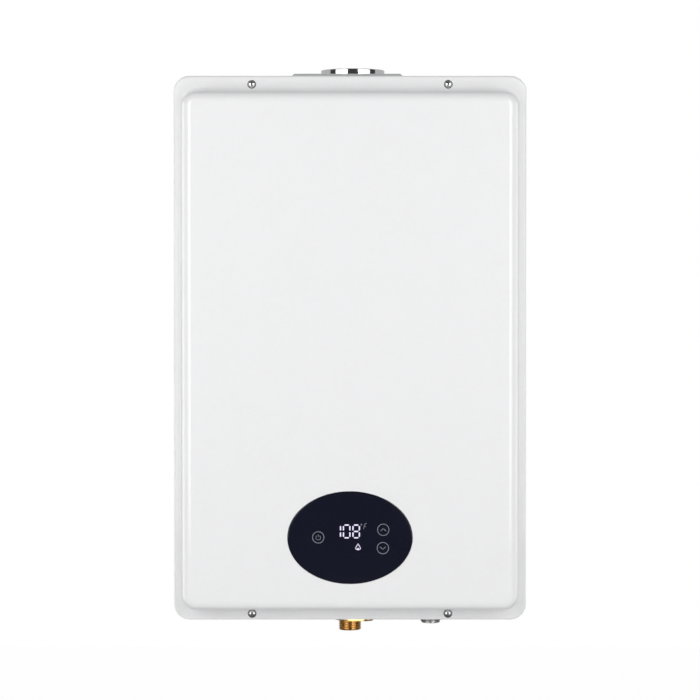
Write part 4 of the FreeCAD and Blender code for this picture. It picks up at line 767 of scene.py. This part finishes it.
def makeSpring(node, joint, travel):
    # a round wire wound in the room of the solid, from its low end to its high end
    room = frame["nodes"][node]
    corners = [room.matrix_world @ Vector(corner) for corner in room.bound_box]
    low = min(corner.z for corner in corners)
    high = max(corner.z for corner in corners)
    middle = sum(corners, Vector()) / len(corners)
    wire = spring["wire"] / 2
    coil = (max(corner.y for corner in corners) - min(corner.y for corner in corners)) / 2 - wire
    bm = bmesh.new()
    made = bmesh.ops.create_circle(bm, segments=spring["wireSteps"], radius=wire, cap_ends=False)
    turnTo(bm, made["verts"], "X", 90)
    bmesh.ops.translate(bm, verts=made["verts"], vec=(coil, 0, low + wire))
    steps = spring["steps"] * spring["turns"]
    bmesh.ops.spin(bm, geom=bm.verts[:] + bm.edges[:], cent=(0, 0, 0), axis=(0, 0, 1),
                   angle=2 * math.pi * spring["turns"], steps=steps,
                   dvec=(0, 0, (high - low - 2 * wire) / steps), use_merge=False)
    bmesh.ops.remove_doubles(bm, verts=bm.verts[:], dist=closeBy)
    bmesh.ops.holes_fill(bm, edges=[edge for edge in bm.edges if edge.is_boundary], sides=0)
    bmesh.ops.translate(bm, verts=bm.verts[:], vec=(middle.x, middle.y, 0))
    bmesh.ops.recalc_face_normals(bm, faces=bm.faces[:])
    piece = finishPiece(bm, node + "Wire", "heater", finishes["stainless"], spring["smooth"])
    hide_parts(node)
    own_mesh(piece)


for values in spring["uses"]:
    makeSpring(*values)
print("springs made")


# floor, light and camera
studio = dict(floor=-0.78, floorSize=3.0, floorShare=0.9, floorGlow=1.06, floorRoughness=0.9,
              floorPale=(0.9, 0.9, 0.9, 1), floorMirrored=(0.12, 0.12, 0.12, 1), ambient=0.34,
              gloomy=0.05, gloomyTo=-0.03, behind=0.55, behindFrom=0.05, aimY=-0.1)
brightMetal = ("collarTube", "gasFitting", "coldFitting", "hotFitting", "coverScrew")
# each lamp: its place, width, height, power and what it shines on
lamps = {
    "frontBoxLeft": ((-0.74, -1.32, 0.26), 0.5, 1.2, 8.75, "all"),
    "frontBoxRight": ((0.74, -1.32, 0.26), 0.5, 1.2, 8.3, "all"),
    "sideBoxLeft": ((-1.2, 0.25, 0.0), 0.7, 1.2, 5.0, "paint"),
    "sideBoxRight": ((1.2, 0.25, 0.0), 0.7, 1.2, 4.0, "paint"),
    "backBox": ((0, 1.7, 0.4), 1.3, 1.0, 6.5, "paint"),
    "mirrorLeft": ((-0.984, -1.134, 0.09), 1.2, 1.72, 10.0, "metal"),
    "mirrorRight": ((0.984, -1.134, 0.09), 1.2, 1.72, 10.0, "metal"),
}
view = dict(focal=129.7, sensor=36, shift=-0.0585, place=(0, -2.62, 0.09), tilt=1.169)


def makeStage():
    # a floor that keeps its shadow, white to the camera and dim in what mirrors it
    bm = bmesh.new()
    bmesh.ops.create_grid(bm, x_segments=1, y_segments=1, size=studio["floorSize"])
    bmesh.ops.translate(bm, verts=bm.verts[:], vec=(0, 0, studio["floor"]))
    mesh = bpy.data.meshes.new("floor")
    bm.to_mesh(mesh)
    bm.free()
    floor = bpy.data.objects.new("floor", mesh)
    bpy.context.collection.objects.link(floor)
    finish = bpy.data.materials.new("floorPaint")
    finish.use_nodes = True
    tree = finish.node_tree
    plain = tree.nodes["Principled BSDF"]
    plain.inputs["Roughness"].default_value = studio["floorRoughness"]
    bright = tree.nodes.new("ShaderNodeEmission")
    bright.inputs["Color"].default_value = (1, 1, 1, 1)
    bright.inputs["Strength"].default_value = studio["floorGlow"]
    path = tree.nodes.new("ShaderNodeLightPath")
    share = tree.nodes.new("ShaderNodeMath")
    share.operation = "MULTIPLY"
    share.inputs[1].default_value = studio["floorShare"]
    link(tree, path.outputs["Is Camera Ray"], share.inputs[0])
    dim = tree.nodes.new("ShaderNodeMix")
    dim.data_type = "RGBA"
    dim.inputs["A"].default_value = studio["floorPale"]
    dim.inputs["B"].default_value = studio["floorMirrored"]
    link(tree, path.outputs["Is Glossy Ray"], dim.inputs["Factor"])
    link(tree, dim.outputs["Result"], plain.inputs["Base Color"])
    mix = tree.nodes.new("ShaderNodeMixShader")
    link(tree, share.outputs[0], mix.inputs["Fac"])
    link(tree, plain.outputs[0], mix.inputs[1])
    link(tree, bright.outputs[0], mix.inputs[2])
    clear = tree.nodes.new("ShaderNodeBsdfTransparent")
    geometry = tree.nodes.new("ShaderNodeNewGeometry")
    under = tree.nodes.new("ShaderNodeMixShader")
    link(tree, geometry.outputs["Backfacing"], under.inputs["Fac"])
    link(tree, mix.outputs[0], under.inputs[1])
    link(tree, clear.outputs[0], under.inputs[2])
    link(tree, under.outputs[0], tree.nodes["Material Output"].inputs["Surface"])
    mesh.materials.append(finish)


def makeWorld():
    # plain light all round, white to the camera, and in mirrors a bright half and a dim one
    world = bpy.data.worlds.new("studio")
    bpy.context.scene.world = world
    world.use_nodes = True
    tree = world.node_tree
    soft = tree.nodes["Background"]
    soft.inputs["Color"].default_value = (1, 1, 1, 1)
    coords = tree.nodes.new("ShaderNodeTexCoord")
    parts = tree.nodes.new("ShaderNodeSeparateXYZ")
    link(tree, coords.outputs["Generated"], parts.inputs[0])
    behind = tree.nodes.new("ShaderNodeMapRange")  # bright behind the heater, dim in front of it
    behind.inputs["From Min"].default_value = studio["gloomyTo"]
    behind.inputs["From Max"].default_value = studio["behindFrom"]
    behind.inputs["To Min"].default_value = studio["gloomy"]
    behind.inputs["To Max"].default_value = studio["behind"]
    link(tree, parts.outputs["Y"], behind.inputs["Value"])
    path = tree.nodes.new("ShaderNodeLightPath")
    mirrored = tree.nodes.new("ShaderNodeMath")
    mirrored.operation = "MAXIMUM"
    link(tree, path.outputs["Is Glossy Ray"], mirrored.inputs[0])
    link(tree, path.outputs["Is Transmission Ray"], mirrored.inputs[1])
    glossy = tree.nodes.new("ShaderNodeMix")
    glossy.inputs["A"].default_value = studio["ambient"]
    link(tree, mirrored.outputs[0], glossy.inputs["Factor"])
    link(tree, behind.outputs["Result"], glossy.inputs["B"])
    seen = tree.nodes.new("ShaderNodeMix")
    seen.inputs["B"].default_value = 1
    link(tree, path.outputs["Is Camera Ray"], seen.inputs["Factor"])
    link(tree, glossy.outputs["Result"], seen.inputs["A"])
    link(tree, seen.outputs["Result"], soft.inputs["Strength"])


def metalCollection(name, state):
    # the bright metal pieces, which a lamp reaches alone or leaves out
    chosen = bpy.data.collections.new(name)
    for piece in bpy.data.objects:
        if piece.name.startswith(brightMetal):
            chosen.objects.link(piece)
    for entry in chosen.collection_objects:
        entry.light_linking.link_state = state
    return chosen


def makeSoftbox(name, place, wide, tall, power, reaches):
    lamp = bpy.data.lights.new(name, "AREA")
    lamp.shape = "RECTANGLE"
    lamp.size = wide
    lamp.size_y = tall
    lamp.energy = power
    holder = bpy.data.objects.new(name, lamp)
    bpy.context.collection.objects.link(holder)
    holder.location = place
    aim = Vector((0, studio["aimY"], place[2])) - Vector(place)
    holder.rotation_euler = aim.to_track_quat("-Z", "Y").to_euler()
    holder.visible_camera = False
    if reaches in receivers:
        holder.light_linking.receiver_collection = receivers[reaches]


def makeCamera():
    lens = bpy.data.cameras.new("camera")
    lens.lens = view["focal"]
    lens.sensor_width = view["sensor"]
    lens.shift_y = view["shift"]
    camera = bpy.data.objects.new("camera", lens)
    bpy.context.collection.objects.link(camera)
    camera.location = view["place"]
    camera.rotation_euler = (math.radians(90 - view["tilt"]), 0, 0)
    bpy.context.scene.camera = camera


makeStage()
makeWorld()
receivers = {"metal": metalCollection("onlyMetal", "INCLUDE"),
             "paint": metalCollection("notMetal", "EXCLUDE")}
for name, values in lamps.items():
    makeSoftbox(name, *values)
makeCamera()
bpy.context.scene.view_settings.view_transform = "Standard"
print("stage, light and camera set")
